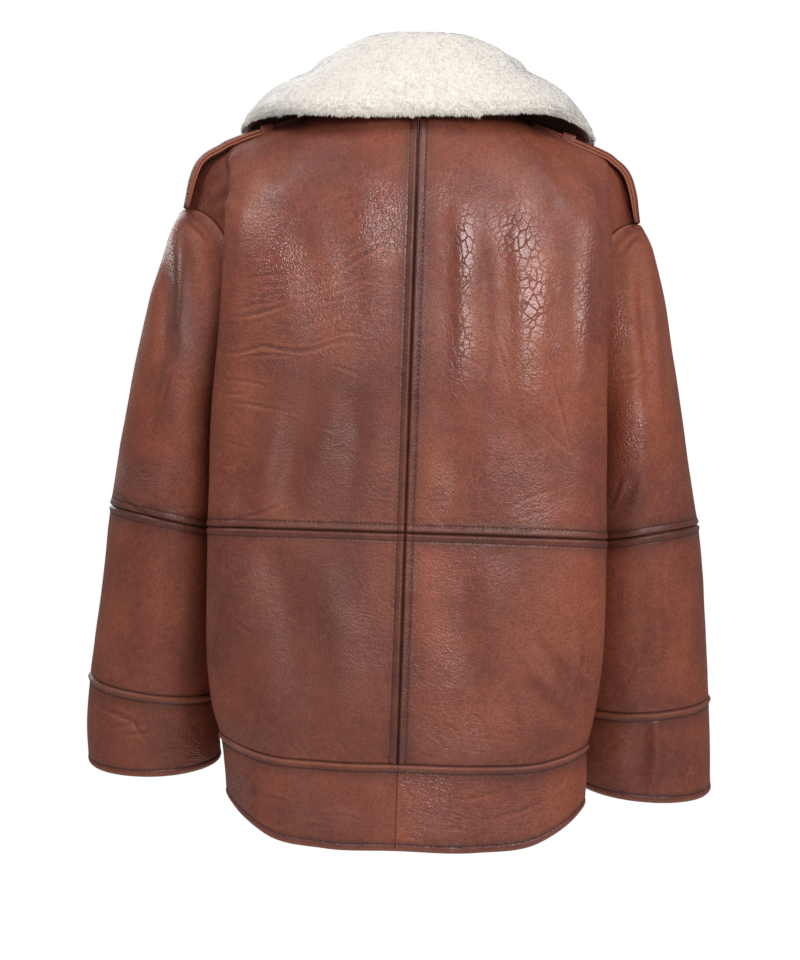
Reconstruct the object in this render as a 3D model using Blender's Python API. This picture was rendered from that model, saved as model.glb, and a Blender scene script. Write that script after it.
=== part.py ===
"""Leather flying jacket with a shearling collar, filled out as if worn and zipped to the neck.

Frame: +Z up, the front faces -Y and the wearer's left is +X. The origin lies between the shoulders,
where a wearer carries the jacket. Tables and sizes are in millimetres, objects in metres.
"""
import math

import bmesh
import bpy
import numpy as np

MM = 0.001

# Driving sizes
LEATHER = 3.0          # sheepskin of body, sleeves and bands
SEAM_GAP = 0.3         # between neighbouring pieces
ARMHOLE_GAP = 0.7      # sleeve's own share, as it folds back beside the body there
WELT_WIDTH = 6.0       # seam allowance stitched down beside a seam
WELT_FADE = 2.0        # width of the step at its far side
WELT_RISE = 1.2        # how far the allowance lifts the leather
LIP_WIDTH = 7.0        # folded top edge of the hem band and cuffs
LIP_RISE = 1.6
PILE = 10.0            # depth of the collar's wool
COLLAR_LEATHER = 2.0   # under collar
COLLAR_ROLL = 9.0      # radius of the collar's fold
PILE_OVERHANG = 5.0    # wool beyond the under collar's edge
STRAP_WIDTH = 38.0     # shoulder strap, two layers of leather
STRAP_THICKNESS = 6.0
STRAP_START = 2.35     # station on the shoulder seam, under the collar
STRAP_PROBE = 0.05     # in stations, for its direction
STRAP_SEAT = 0.5       # above the shoulder at both ends
STRAP_LIFT = 3.0       # how far its middle bows up off the shoulder
STRAP_CROWN = 5.0      # how far its long edges hang below its middle line
LOOP_WIDTH = 13.0      # keeper loop round the strap
LOOP_LEATHER = 2.0
LOOP_PLACE = 0.13      # share of the strap's length
LOOP_CLEARANCE = 0.8
LOOP_FEET = (4.5, 1.4)     # how far its front and back feet reach down beside the ridge
ZIP_SLOT = 12.0        # between the two front edges
TAPE_WIDTH = 12.0
TAPE_THICKNESS = 1.0
CHAIN_WIDTH = 5.2
CHAIN_THICKNESS = 2.6
CHAIN_END = 3.0        # the chain ends this far above the slider's middle, below its post
ZIP_DEPTH = LEATHER + 2 * SEAM_GAP + TAPE_THICKNESS / 2    # middle of the tape behind the leather
ZIP_BOTTOM = -680
ZIP_TOP = -68
SLIDER_HALF_WIDTH = 5.0
BRIDGE_HALF_WIDTH = 1.2
PULL_LENGTH = 26.0
PULL_HALF_WIDTH = 3.3
PULL_HALF_THICKNESS = 0.6
PULL_EYE = 5.2         # how far the eye's window reaches below the axis
PIVOT = (-4.75, -0.7)  # y and z of the pull's axis from the slider's middle

# Torso sections from the hem to the yoke line. z at the centre back, at the back's side fold, at
# the side seam or armhole edge, and at the centre front; half widths x and depths y of the folds
# between which the hanging sleeves press the sides in.
TORSO_COLUMNS = ("z_cb", "z_fold", "z_side", "z_cf", "back", "fold_left", "fold_right", "fold_y",
                 "side_x", "side_y", "chest_x", "chest_y", "front")
TORSO = {
    "hem":       (-684, -638, -630, -622, 113, 164, 183, 78, 154, 0, 165, -74, -112),
    "band":      (-642, -610, -602, -595, 118, 167, 183, 82, 155, 0, 168, -78, -116),
    "band_seam": (-600, -578, -572, -566, 121, 172, 183, 86, 156, 0, 172, -82, -119),
    "blouse":    (-575, -557, -551, -546, 129, 179, 187, 92, 160, 0, 179, -87, -126),
    "hip":       (-520, -510, -508, -505, 131, 187, 193, 95, 163, 0, 185, -90, -129),
    "lower":     (-450, -448, -448, -447, 129, 190, 195, 95, 164, 0, 187, -91, -128),
    "waist":     (-380, -381, -381, -380, 127, 190, 194, 94, 163, 0, 186, -90, -126),
    "rib":       (-320, -321, -322, -320, 127, 190, 192, 94, 163, 0, 185, -90, -126),
    "underarm":  (-262, -266, -272, -262, 128, 190, 191, 95, 163, 0, 184, -90, -127),
    "scye_low":  (-240, -246, -258, -241, 129, 189, 190, 95, 163, 26, 183, -90, -127),
    "scye":      (-205, -212, -226, -206, 129, 187, 190, 95, 165, 46, 182, -90, -127),
    "yoke":      (-140, -148, -164, -140, 126, 184, 191, 94, 168, 60, 180, -89, -124),
}
CENTRE_TO_FOLD = (      # share of the half width, share of the depth lost
    (0.00, 0.00),
    (0.42, 0.00),
    (0.76, 0.15),
    (0.94, 0.55),
    (1.00, 1.00),
)
HEM_CORNER = 5                # power that keeps a section level until near the fold
FOLD_RETURN = (7.0, 16.0)     # how far the fold turns back in x and y
SIDE = 7                      # station of the side seam or armhole edge
NECK = 2                      # station of the neck point on the top edge
WAIST = -380
UNDERARM = -262
YOKE = -140
TOP = -40                     # rows above the yoke line run on to here, over the shoulder

# Top edge: neckline, then the shoulder seam from neck point to tip.
NECK_POINT = (88, 6, 33)
NECK_BACK_Y = 84
NECK_BACK_CROWN = 3
THROAT = (-116, -62)          # y and z of the neckline at the centre front
SHOULDER = (                  # station, x on the left, x on the right, y, z
    (2, 88, 88, 6, 33),
    (3, 150, 150, 2, 10),
    (4, 180, 180, 0, -1),
    (5, 193, 193, 0, -8),
    (6, 215, 209, 0, -24),
    (7, 229, 222, 0, -66),
)
ROUNDNESS = {"back": 2.0, "front": 1.6}     # of the way from yoke line to top edge: 1 is straight

# Sleeve rings after the armhole: outer and inner point of each, where its middle lies from front
# to back, its half depth, how much lower its back is, and how far it bows in beside the armhole.
SLEEVE_COLUMNS = ("outer_left", "outer_right", "outer_z", "inner_x", "inner_z",
                  "middle_y", "depth", "dip", "bow", "drop_right")
SLEEVE = {
    "cap":       (240, 233, -80, 184, -291, 0, 72, 0, 13, 0),
    "arm":       (253, 247, -122, 184, -300, 0, 78, 0, 5, 0),
    "bicep":     (270, 262, -199, 181, -312, 0, 80, 0, 0, 0),
    "upper":     (285, 278, -290, 178, -343, -3, 78, 0, 0, 0),
    "elbow":     (295, 293, -364, 176, -386, -9, 75, 1, 0, 0),
    "forearm":   (303, 304, -450, 177, -464, -18, 72, 5, 0, 0),
    "cuff_seam": (312, 312, -534, 180, -546, -28, 68, 9, 0, 2),
    "cuff":      (315, 316, -582, 181, -586, -32, 67, 11, 0, 5),
    "cuff_edge": (312, 318, -622, 179, -617, -35, 66, 12, 0, 9),
}
ELBOW = 5                     # ring numbers, counting the armhole as 0
CUFF_SEAM = 7
CUFF_EDGE = 9

# Collar sections from the centre back round to the front end: place on the neckline (0 centre
# back, 2 neck point, 4 throat), height of the fold above the seam, the fall's edge, its belly.
COLLAR_COLUMNS = ("neck", "stand", "edge_x", "edge_y", "edge_z", "belly")
COLLAR = (
    (0.00, 59, 0, 113, 22, 2),
    (0.60, 55, 70, 111, 22, 3),
    (1.20, 44, 124, 88, 20, 5),
    (1.70, 40, 159, 48, 19, 8),
    (2.10, 36, 169, 2, 21, 9),
    (2.40, 36, 169, -29, 13, 9),
    (2.70, 34, 163, -62, -24, 7),
    (3.30, 26, 128, -122, -92, 4),
    (3.88, 17, 84, -134, -140, 1),
)
COLLAR_LEAN = 4.0             # how far it sits lower on the left and higher on the right
NECK_GAP = 0.6                # between the panels' neck edge and the collar

# Columns are stations; rows are heights on the torso and (ring, millimetres past it) on a sleeve.
SIDES = {"left": 1, "right": -1}
TUBES = ("sleeve", "cuff")
SIDE_COLUMNS = (1.0, 1.5, 2.0, 2.6, 3.2, 3.7, 4.0, 4.4, 5.0, 6.0, 7.0)
WELT_STATION = 0.075          # WELT_WIDTH as a share of the way to station 1
FADE_STATION = 0.1
BACK_COLUMNS = (0.0, WELT_STATION, FADE_STATION, 0.5) + SIDE_COLUMNS
FRONT_COLUMNS = (0.0, 0.5) + SIDE_COLUMNS
WELT_STEP = WELT_WIDTH + WELT_FADE
BAND_ROWS = (-684, -642, -609, -607, -600)
LOWER_ROWS = (-600, -582, -545, -490, -430, WAIST - WELT_STEP, WAIST - WELT_WIDTH, WAIST)
ARMHOLE_ROWS = (UNDERARM, -246, -226, -200, -172, YOKE, -122, -104, -84, -62, TOP)
UPPER_ROWS = (WAIST, WAIST + WELT_WIDTH, WAIST + WELT_STEP, -335, -295) + ARMHOLE_ROWS
UPPER_SLEEVE_ROWS = ((0, 0), (0.4, 0), (1, 0), (1.6, 0), (2.3, 0), (3, 0), (3.6, 0), (4.3, 0),
                     (ELBOW, -WELT_STEP), (ELBOW, -WELT_WIDTH), (ELBOW, 0))
LOWER_SLEEVE_ROWS = ((ELBOW, 0), (ELBOW, WELT_WIDTH), (ELBOW, WELT_STEP), (5.5, 0), (6, 0),
                     (6.5, 0), (CUFF_SEAM, 0))
CUFF_ROWS = ((CUFF_SEAM, 0), (CUFF_SEAM, LIP_WIDTH), (CUFF_SEAM, LIP_WIDTH + WELT_FADE),
             (8, 0), (CUFF_EDGE, 0))
CHAIN_ROWS = (ZIP_BOTTOM, -640, -600, -575, -540, -490, -430, WAIST, -320, UNDERARM, -205, YOKE,
              -105, ZIP_TOP)
SHARPEST = 0.7                # cosine that caps the lengthening at a sharp fold

COLOURS = {                   # base colour, roughness, metallic
    "leather": ((0.24, 0.085, 0.055), 0.42, 0.0),
    "edge": ((0.19, 0.065, 0.04), 0.5, 0.0),
    "wool": ((0.86, 0.80, 0.70), 0.95, 0.0),
    "tape": ((0.05, 0.03, 0.02), 0.85, 0.0),
    "metal": ((0.62, 0.56, 0.46), 0.35, 1.0),
}


def unit(vectors):
    """Vectors of length 1."""
    return vectors / np.linalg.norm(vectors, axis=-1, keepdims=True)


def spline(points, knots, at):
    """Smooth curve through points (first axis) that stand at the knots, read at other places."""
    points = np.asarray(points, float)
    knots = np.asarray(knots, float)
    at = np.asarray(at, float)
    spread = (-1,) + (1,) * (points.ndim - 1)
    step = np.diff(knots).reshape(spread)
    slope = np.diff(points, axis=0) / step
    tangent = np.concatenate((slope[:1], slope))
    share = step[1:] / (step[:-1] + step[1:])
    tangent[1:-1] = slope[:-1] * share + slope[1:] * (1 - share)
    cell = np.clip(np.searchsorted(knots, at, side="right") - 1, 0, len(knots) - 2)
    width = step[cell]
    u = ((at - knots[cell]).reshape(spread)) / width
    start = points[cell] * (1 + 2 * u) * (1 - u) ** 2 + tangent[cell] * width * u * (1 - u) ** 2
    end = points[cell + 1] * (3 - 2 * u) * u ** 2 + tangent[cell + 1] * width * (u - 1) * u ** 2
    return start + end


def chord_knots(points):
    """Mean distances along the first axis, as knots that keep a spline through it even."""
    gaps = np.linalg.norm(np.diff(points, axis=0), axis=-1)
    gaps = gaps.reshape(len(gaps), -1).mean(axis=1)
    return np.concatenate(([0.0], np.cumsum(gaps)))


def torso_stations(side, face):
    """Key points of every torso section, from the centre (station 0) to the side (station 7)."""
    column = dict(zip(TORSO_COLUMNS, np.array(list(TORSO.values()), float).T))
    if face == "back":
        half = column["fold_left"] if side > 0 else column["fold_right"]
        centre_x, centre_y, fold_y = 0.0, column["back"], column["fold_y"]
        z_centre, z_fold, side_y, inward = column["z_cb"], column["z_fold"], column["side_y"], -1
    else:
        half = column["chest_x"]
        centre_x, centre_y, fold_y = ZIP_SLOT / 2, column["front"], column["chest_y"]
        z_centre, side_y, inward = column["z_cf"], -column["side_y"], 1
        z_fold = (column["z_side"] + column["z_cf"]) / 2
    stations = []
    for across, lost in CENTRE_TO_FOLD:
        x = centre_x + (half - centre_x) * across
        y = centre_y + (fold_y - centre_y) * lost
        z = z_centre + (z_fold - z_centre) * across ** HEM_CORNER
        stations.append(np.stack((x, y, z), axis=-1))
    turned = (half - FOLD_RETURN[0], fold_y + inward * FOLD_RETURN[1],
              z_fold * 0.7 + column["z_side"] * 0.3)
    under = np.stack(turned, axis=-1)
    edge = np.stack((column["side_x"], side_y, column["z_side"]), axis=-1)
    tuck = edge + (under - edge) * np.array((0.3, 0.5, 0.5))
    stations += [under, tuck, edge]
    return np.stack(stations, axis=1)


def top_edge(side, face, stations):
    """Neckline up to the neck point, then the shoulder seam to its tip, drawn for x above 0."""
    stations = np.asarray(stations, float)
    turn = np.clip(stations / NECK, 0, 1) * math.pi / 2
    neck_x, neck_y, neck_z = NECK_POINT
    if face == "back":
        x = neck_x * np.sin(turn)
        y = neck_y + (NECK_BACK_Y - neck_y) * np.cos(turn)
        z = neck_z + NECK_BACK_CROWN * np.sin(2 * turn)
    else:
        x = ZIP_SLOT / 2 + (neck_x - ZIP_SLOT / 2) * np.sin(turn)
        y = neck_y + (THROAT[0] - neck_y) * np.cos(turn)
        z = neck_z + (THROAT[1] - neck_z) * np.cos(turn)
    neckline = np.stack((x, y, z), axis=-1)
    table = np.array(SHOULDER, float)
    places = table[:, (1 if side > 0 else 2, 3, 4)]
    seam = spline(places, table[:, 0], np.clip(stations, NECK, SIDE))
    return np.where(stations[:, None] < NECK, neckline, seam)


def torso_sheet(side, face, rows, columns):
    """Points of the torso's outer surface, rows by height and columns by station."""
    keys = torso_stations(side, face)
    levels = np.array([row[0] for row in TORSO.values()], float)
    rows = np.asarray(rows, float)
    low = np.minimum(rows, YOKE)
    points = spline(keys, levels, low)
    corner = int(np.argmin(abs(levels - UNDERARM)))
    seam = spline(keys[:corner + 1, SIDE], levels[:corner + 1], np.minimum(low, UNDERARM))
    hole = spline(keys[corner:, SIDE], levels[corner:], np.maximum(low, UNDERARM))
    points[:, SIDE] = np.where(low[:, None] <= UNDERARM, seam, hole)
    knots = chord_knots(keys.transpose(1, 0, 2))
    places = np.interp(columns, np.arange(SIDE + 1), knots)
    sheet = spline(points.transpose(1, 0, 2), knots, places).transpose(1, 0, 2)
    turn = (np.clip((rows - YOKE) / (TOP - YOKE), 0, 1) * math.pi / 2)[:, None]
    power = 2 / ROUNDNESS[face]
    inward = 1 - np.maximum(np.cos(turn), 0) ** power
    upward = np.sin(turn) ** power
    way = top_edge(side, face, columns)[None] - sheet
    sheet += way * np.stack((inward, inward, upward), axis=-1)
    sheet[..., 0] *= side
    return sheet


def armhole(side):
    """The armhole's edge: from the shoulder tip down the back, then up the front."""
    back = torso_sheet(side, "back", ARMHOLE_ROWS, (SIDE,))[:, 0]
    front = torso_sheet(side, "front", ARMHOLE_ROWS, (SIDE,))[:, 0]
    return np.concatenate((back[::-1], front[1:-1]))


def sleeve_rings(side):
    """The sleeve's key rings, the armhole first, point for point in line with it."""
    loop = armhole(side)
    run = np.linalg.norm(np.diff(loop, axis=0, append=loop[:1]), axis=1)
    around = np.concatenate(([0.0], np.cumsum(run)[:-1])) / run.sum() * 2 * math.pi
    rings = [loop]
    for values in SLEEVE.values():
        ring = dict(zip(SLEEVE_COLUMNS, values))
        outer_x = ring["outer_left"] if side > 0 else ring["outer_right"]
        half_x = (outer_x - ring["inner_x"]) / 2
        half_z = (ring["outer_z"] - ring["inner_z"]) / 2
        x = ring["inner_x"] + half_x * (1 + np.cos(around)) - ring["bow"] * np.sin(around) ** 2
        y = ring["middle_y"] + ring["depth"] * np.sin(around)
        z = ring["inner_z"] + half_z * (1 + np.cos(around)) - ring["dip"] * np.sin(around)
        z -= ring["drop_right"] * (side < 0)
        rings.append(np.stack((x * side, y, z), axis=-1))
    return np.stack(rings)


def sleeve_sheet(side, rows):
    """Points of the sleeve's outer surface; a row is (ring number, millimetres past it)."""
    rings = sleeve_rings(side)
    knots = chord_knots(rings)
    places = [np.interp(ring, np.arange(len(rings)), knots) + past for ring, past in rows]
    return spline(rings, knots, places)


def directions(points, axis, wrap):
    """Unit tangents along one axis of a grid, from both neighbours where there are two."""
    if wrap:
        ahead = unit(np.roll(points, -1, axis) - points)
        return unit(ahead + np.roll(ahead, 1, axis))
    ahead = unit(np.diff(points, axis=axis))
    first = np.take(ahead, [0], axis)
    last = np.take(ahead, [-1], axis)
    return unit(np.concatenate((first, ahead), axis) + np.concatenate((ahead, last), axis))


def sheet_normals(points, flip, wrap=False):
    """Unit normals on the garment's outer side."""
    across = np.cross(directions(points, 0, False), directions(points, 1, wrap))
    return unit(across) * flip


def join_normals(sheets):
    """Let sheets that meet at a seam share its normals, lengthened to keep the wall's thickness."""
    met = {}
    for name, (points, normals) in sheets.items():
        tube = name.startswith(TUBES)
        for point, normal in zip(points.reshape(-1, 3), normals.reshape(-1, 3)):
            meeting = met.setdefault(tuple(np.round(point, 2) + 0.0), {})
            meeting[tube] = meeting.get(tube, 0) + normal
    shared = {}
    for place, meeting in met.items():
        normals = unit(np.array(list(meeting.values())))
        mean = unit(normals.sum(axis=0))
        shared[place] = mean / max(np.mean(normals @ mean), SHARPEST)
    joined = {}
    for name, (points, normals) in sheets.items():
        flat = [shared[tuple(np.round(point, 2) + 0.0)] for point in points.reshape(-1, 3)]
        joined[name] = (points, np.array(flat).reshape(points.shape))
    return joined


def material(finish):
    """The Principled material of a finish, made once."""
    made = bpy.data.materials.get(finish)
    if made is None:
        made = bpy.data.materials.new(finish)
        made.use_nodes = True
        shader = made.node_tree.nodes["Principled BSDF"]
        colour, roughness, metallic = COLOURS[finish]
        shader.inputs["Base Color"].default_value = (*colour, 1.0)
        shader.inputs["Roughness"].default_value = roughness
        shader.inputs["Metallic"].default_value = metallic
    return made


def add_solid(name, points, faces, finish, place=(0.0, 0.0, 0.0), tilt=0.0):
    """One closed solid as an object; points in millimetres from its place, tilted about X."""
    mesh = bpy.data.meshes.new(name)
    mesh.from_pydata([tuple(point) for point in np.asarray(points, float) * MM], [], faces)
    solid = bmesh.new()
    solid.from_mesh(mesh)
    bmesh.ops.recalc_face_normals(solid, faces=solid.faces)
    solid.to_mesh(mesh)
    solid.free()
    mesh.shade_smooth()
    mesh.set_sharp_from_angle(angle=math.radians(40))
    mesh.materials.append(material(finish))
    thing = bpy.data.objects.new(name, mesh)
    thing.location = [value * MM for value in place]
    thing.rotation_euler.x = tilt
    bpy.context.scene.collection.objects.link(thing)
    return thing


def grid_faces(rows, columns, wrap):
    """Faces of a wall, outer points first and inner second; both sides split along the same corners."""
    size = rows * columns
    faces = []
    for i in range(rows - 1):
        for j in range(columns if wrap else columns - 1):
            right = (j + 1) % columns
            a, b = i * columns + j, i * columns + right
            c, d = (i + 1) * columns + right, (i + 1) * columns + j
            for corners in ((a, b, c), (a, c, d)):
                faces.append(corners)
                faces.append(tuple(size + corner for corner in reversed(corners)))
    rims = [[(i * columns + j, i * columns + (j + 1) % columns)
             for j in range(columns if wrap else columns - 1)] for i in (0, rows - 1)]
    if not wrap:
        rims += [[(i * columns + j, (i + 1) * columns + j) for i in range(rows - 1)]
                 for j in (0, columns - 1)]
    for rim in rims:
        faces += [(a, b, size + b, size + a) for a, b in rim]
    return faces


def pull_in(points, wrap, first_gap):
    """Draw a sheet's edges in by half the seam gap, and its first row by its own gap."""
    drawn = points.copy()
    half = SEAM_GAP / 2
    drawn[0] += unit(points[1] - points[0]) * first_gap
    drawn[-1] += unit(points[-2] - points[-1]) * half
    if not wrap:
        drawn[:, 0] += unit(points[:, 1] - points[:, 0]) * half
        drawn[:, -1] += unit(points[:, -2] - points[:, -1]) * half
    return drawn


def add_wall(name, points, normals, thickness, finish, rise=0.0, wrap=False, shrink=True,
             first_gap=SEAM_GAP / 2):
    """A cloth wall between its outer points, raised by rise, and its inner points."""
    outer = points + normals * np.broadcast_to(rise, points.shape[:2])[..., None]
    inner = points - normals * np.broadcast_to(thickness, points.shape[:2])[..., None]
    if shrink:
        outer = pull_in(outer, wrap, first_gap)
        inner = pull_in(inner, wrap, first_gap)
    both = np.concatenate((outer.reshape(-1, 3), inner.reshape(-1, 3)))
    return add_solid(name, both, grid_faces(*points.shape[:2], wrap), finish)


def near(values, seam, width):
    """Which rows or columns lie on the allowance beside a seam."""
    return (abs(np.asarray(values, float) - seam) <= width + 0.001).astype(float)


def body_sheets():
    """Every piece of the torso and sleeves as (points, normals), seams shared."""
    sheets = {}
    for label, side in SIDES.items():
        def add(name, points, wrap=False):
            sheets[f"{name}_{label}"] = (points, sheet_normals(points, side, wrap))

        add("back_upper", torso_sheet(side, "back", UPPER_ROWS, BACK_COLUMNS))
        add("back_lower", torso_sheet(side, "back", LOWER_ROWS, BACK_COLUMNS))
        add("front", torso_sheet(side, "front", LOWER_ROWS + UPPER_ROWS[1:], FRONT_COLUMNS)[:, ::-1])
        round_back = torso_sheet(side, "back", BAND_ROWS, BACK_COLUMNS)
        round_front = torso_sheet(side, "front", BAND_ROWS, FRONT_COLUMNS)[:, ::-1]
        add("hem_band", np.concatenate((round_back, round_front[:, 1:]), axis=1))
        add("sleeve_upper", sleeve_sheet(side, UPPER_SLEEVE_ROWS), wrap=True)
        add("sleeve_lower", sleeve_sheet(side, LOWER_SLEEVE_ROWS), wrap=True)
        add("cuff", sleeve_sheet(side, CUFF_ROWS), wrap=True)
    return join_normals(sheets)


def near_ring(rows, seam, width):
    """Which sleeve rows lie on the allowance or folded edge beside a seam's ring."""
    return np.array([float(ring == seam and abs(past) <= width) for ring, past in rows])


def add_body():
    """Backs, fronts, hem band, sleeves and cuffs, with their seam allowances raised."""
    sheets = body_sheets()
    beside_centre = near(BACK_COLUMNS, 0, WELT_STATION)
    below_neck = 1 - near(UPPER_ROWS, TOP, 0)
    welt_lower = near(LOWER_ROWS, WAIST, WELT_WIDTH)
    welt_upper = near(UPPER_ROWS, WAIST, WELT_WIDTH)
    lip = near(BAND_ROWS, BAND_ROWS[-1], LIP_WIDTH)
    elbow_upper = near_ring(UPPER_SLEEVE_ROWS, ELBOW, WELT_WIDTH)
    elbow_lower = near_ring(LOWER_SLEEVE_ROWS, ELBOW, WELT_WIDTH)
    cuff_lip = near_ring(CUFF_ROWS, CUFF_SEAM, LIP_WIDTH)
    rises = {
        "back_upper": WELT_RISE * np.maximum(welt_upper[:, None], below_neck[:, None] * beside_centre),
        "back_lower": WELT_RISE * np.maximum(welt_lower[:, None], beside_centre),
        "front": 0.0,
        "hem_band": LIP_RISE * lip[:, None],
        "sleeve_upper": WELT_RISE * elbow_upper[:, None],
        "sleeve_lower": WELT_RISE * elbow_lower[:, None],
        "cuff": LIP_RISE * cuff_lip[:, None],
    }
    for name, (points, normals) in sheets.items():
        piece = name.rsplit("_", 1)[0]
        first_gap = ARMHOLE_GAP if piece == "sleeve_upper" else SEAM_GAP / 2
        add_wall(name, points, normals, LEATHER, "leather", rises[piece],
                 wrap=name.startswith(TUBES), first_gap=first_gap)


def neckline(places):
    """Points on the panels' neck edge: 0 centre back, 2 neck point, 4 throat; negative on the right."""
    corners = np.arange(0, 2 * NECK + 0.1, 0.5)
    back = top_edge(1, "back", np.minimum(corners, NECK))
    front = top_edge(1, "front", np.clip(2 * NECK - corners, 0, NECK))
    edge = np.where(corners[:, None] <= NECK, back, front)
    points = [np.interp(abs(np.asarray(places, float)), corners, axis) for axis in edge.T]
    points[0] = points[0] * np.where(np.asarray(places) < 0, -1, 1)
    return np.stack(points, axis=-1)


def collar_sheet(across, along, overhang):
    """The collar's folded surface: rows up the stand, over the roll and down the fall."""
    table = np.array(COLLAR, float)
    mirrored = table[:0:-1] * np.array((-1, 1, -1, 1, 1, 1))
    table = np.concatenate((mirrored, table))
    sections = spline(table[:, 1:], table[:, 0], along)
    lean = np.clip(along / NECK, -1, 1)
    sections[:, 0] -= COLLAR_LEAN * lean
    sections[:, 3] -= COLLAR_LEAN * np.sin(math.pi * lean)
    columns = []
    for seam, (stand, edge_x, edge_y, edge_z, belly) in zip(neckline(along), sections):
        seam = seam + np.array((0, 0, NECK_GAP))
        edge = np.array((edge_x, edge_y, edge_z))
        outward = unit((edge - seam) * np.array((1, 1, 0)))
        up = np.array((0, 0, 1.0))
        reach = float((edge - seam) @ outward)
        drop = edge[2] - seam[2]
        roll_exit = np.array((2 * COLLAR_ROLL, stand - COLLAR_ROLL))
        fall = np.array((reach, drop)) - roll_exit
        bulge = np.array((-fall[1], fall[0])) / np.linalg.norm(fall) * belly
        straight = stand - COLLAR_ROLL
        profile = np.array([
            (-COLLAR_LEATHER, 0),
            (-COLLAR_LEATHER, straight / 2),
            (0, straight),
            (COLLAR_ROLL, stand),
            roll_exit,
            roll_exit + fall * 0.55 + bulge,
            (reach, drop),
        ])
        knots = chord_knots(profile)
        places = np.interp(across, np.arange(len(profile)), knots)
        curve = spline(profile, knots, places)
        if overhang:
            curve = np.concatenate((curve, curve[-1:] + unit(curve[-1:] - curve[-2:-1]) * overhang))
        columns.append(seam + curve[:, :1] * outward + curve[:, 1:] * up)
    return np.stack(columns, axis=1)


def add_collar():
    """Leather under collar and the wool that covers its outer face."""
    end = COLLAR[-1][0]
    along = np.concatenate(([-end], np.arange(-3.75, 3.76, 0.25), [end]))
    across = (0, 1, 2, 2.5, 3, 3.5, 4, 4.5, 5.2, 6)
    leather = collar_sheet(across, along, 0)
    add_wall("under_collar", leather, sheet_normals(leather, -1), COLLAR_LEATHER, "leather",
             shrink=False)
    wool = collar_sheet(across, along, PILE_OVERHANG)
    normals = sheet_normals(wool, -1)
    rounding_rows = np.array([0.55, 0.95] + [1.0] * (len(wool) - 4) + [0.9, 0.5])
    rounding_columns = np.array([0.55] + [1.0] * (len(along) - 2) + [0.55])
    depth = PILE * rounding_rows[:, None] * rounding_columns
    add_wall("collar_fur", wool, normals, -SEAM_GAP, "wool", rise=SEAM_GAP + depth, shrink=False)


def strap_path(label, places):
    """Middle line under a shoulder strap, its normals and tangents, on the shoulder's ridge."""
    side = SIDES[label]
    stations = STRAP_START + (SIDE - STRAP_START) * np.asarray(places, float)
    ridge = top_edge(side, "back", stations)
    ahead = top_edge(side, "back", np.minimum(stations + STRAP_PROBE, SIDE))
    behind = top_edge(side, "back", stations - STRAP_PROBE)
    tangent = unit((ahead - behind) * np.array((1, 0, 1)))
    normal = np.stack((-tangent[:, 2], np.zeros(len(stations)), tangent[:, 0]), axis=-1)
    lift = STRAP_SEAT + STRAP_LIFT * np.sin(math.pi * np.asarray(places, float))
    ridge = ridge + normal * lift[:, None]
    for vectors in (ridge, normal, tangent):
        vectors[:, 0] *= side
    return ridge, normal, tangent


def strap_crown(place):
    """How far the strap's long edges hang below its middle line, less under the collar."""
    return STRAP_CROWN * np.minimum(1, 0.3 + 2 * np.asarray(place, float))


def sweep_faces(stations, around):
    """Faces of a closed section swept through stations, with a cap at each end."""
    faces = [(i * around + j, i * around + (j + 1) % around,
              (i + 1) * around + (j + 1) % around, (i + 1) * around + j)
             for i in range(stations - 1) for j in range(around)]
    faces.append(tuple(range(around)))
    faces.append(tuple((stations - 1) * around + j for j in range(around)))
    return faces


def add_strap(label):
    """Two-layer shoulder strap, its cut edges grooved between the layers."""
    half, thick, bevel, groove = STRAP_WIDTH / 2, STRAP_THICKNESS, 0.6, 0.8
    edge = ((0, 0), (half / 2, 0), (half - bevel, 0), (half, bevel),
            (half, thick / 2 - bevel / 2), (half - groove, thick / 2), (half, thick / 2 + bevel / 2),
            (half, thick - bevel), (half - bevel, thick), (half / 2, thick), (0, thick))
    section = np.array(edge + tuple((-across, up) for across, up in edge[-2:0:-1]))
    places = np.array((0, 0.07, 0.13, 0.19, 0.28, 0.38, 0.47, 0.56, 0.64, 0.72, 0.8, 0.9, 1))
    line, normals, _ = strap_path(label, places)
    drop = np.outer(strap_crown(places), (section[:, 0] / half) ** 2)
    points = [line[i] + normals[i] * (up - drop[i, j]) + np.array((0, across, 0))
              for i in range(len(places)) for j, (across, up) in enumerate(section)]
    add_solid(f"epaulette_{label}", points, sweep_faces(len(places), len(section)), "edge")


def add_loop(label):
    """Keeper loop: a band over the strap with its feet on the shoulder."""
    line, normals, tangents = strap_path(label, (LOOP_PLACE,))
    middle, normal, tangent = line[0], normals[0], tangents[0]
    lift = STRAP_SEAT + STRAP_LIFT * math.sin(math.pi * LOOP_PLACE)
    inner = STRAP_WIDTH / 2 + LOOP_CLEARANCE
    outer = inner + LOOP_LEATHER
    under = STRAP_THICKNESS + LOOP_CLEARANCE
    over = under + LOOP_LEATHER
    front_foot, back_foot = (-lift - reach for reach in LOOP_FEET)
    soft = 1.2
    low = float(strap_crown(LOOP_PLACE))
    section = (
        (outer, back_foot), (outer, over - low - soft), (outer - soft, over - low),
        (outer / 2, over - low / 4), (0, over), (-outer / 2, over - low / 4),
        (soft - outer, over - low), (-outer, over - low - soft), (-outer, front_foot),
        (-inner, front_foot), (-inner, under - low), (-inner / 2, under - low / 4), (0, under),
        (inner / 2, under - low / 4), (inner, under - low), (inner, back_foot),
    )
    points = [middle + tangent * along + normal * up + np.array((0, across, 0))
              for along in (-LOOP_WIDTH / 2, LOOP_WIDTH / 2) for across, up in section]
    add_solid(f"epaulette_loop_{label}", points, sweep_faces(2, len(section)), "edge")


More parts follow.
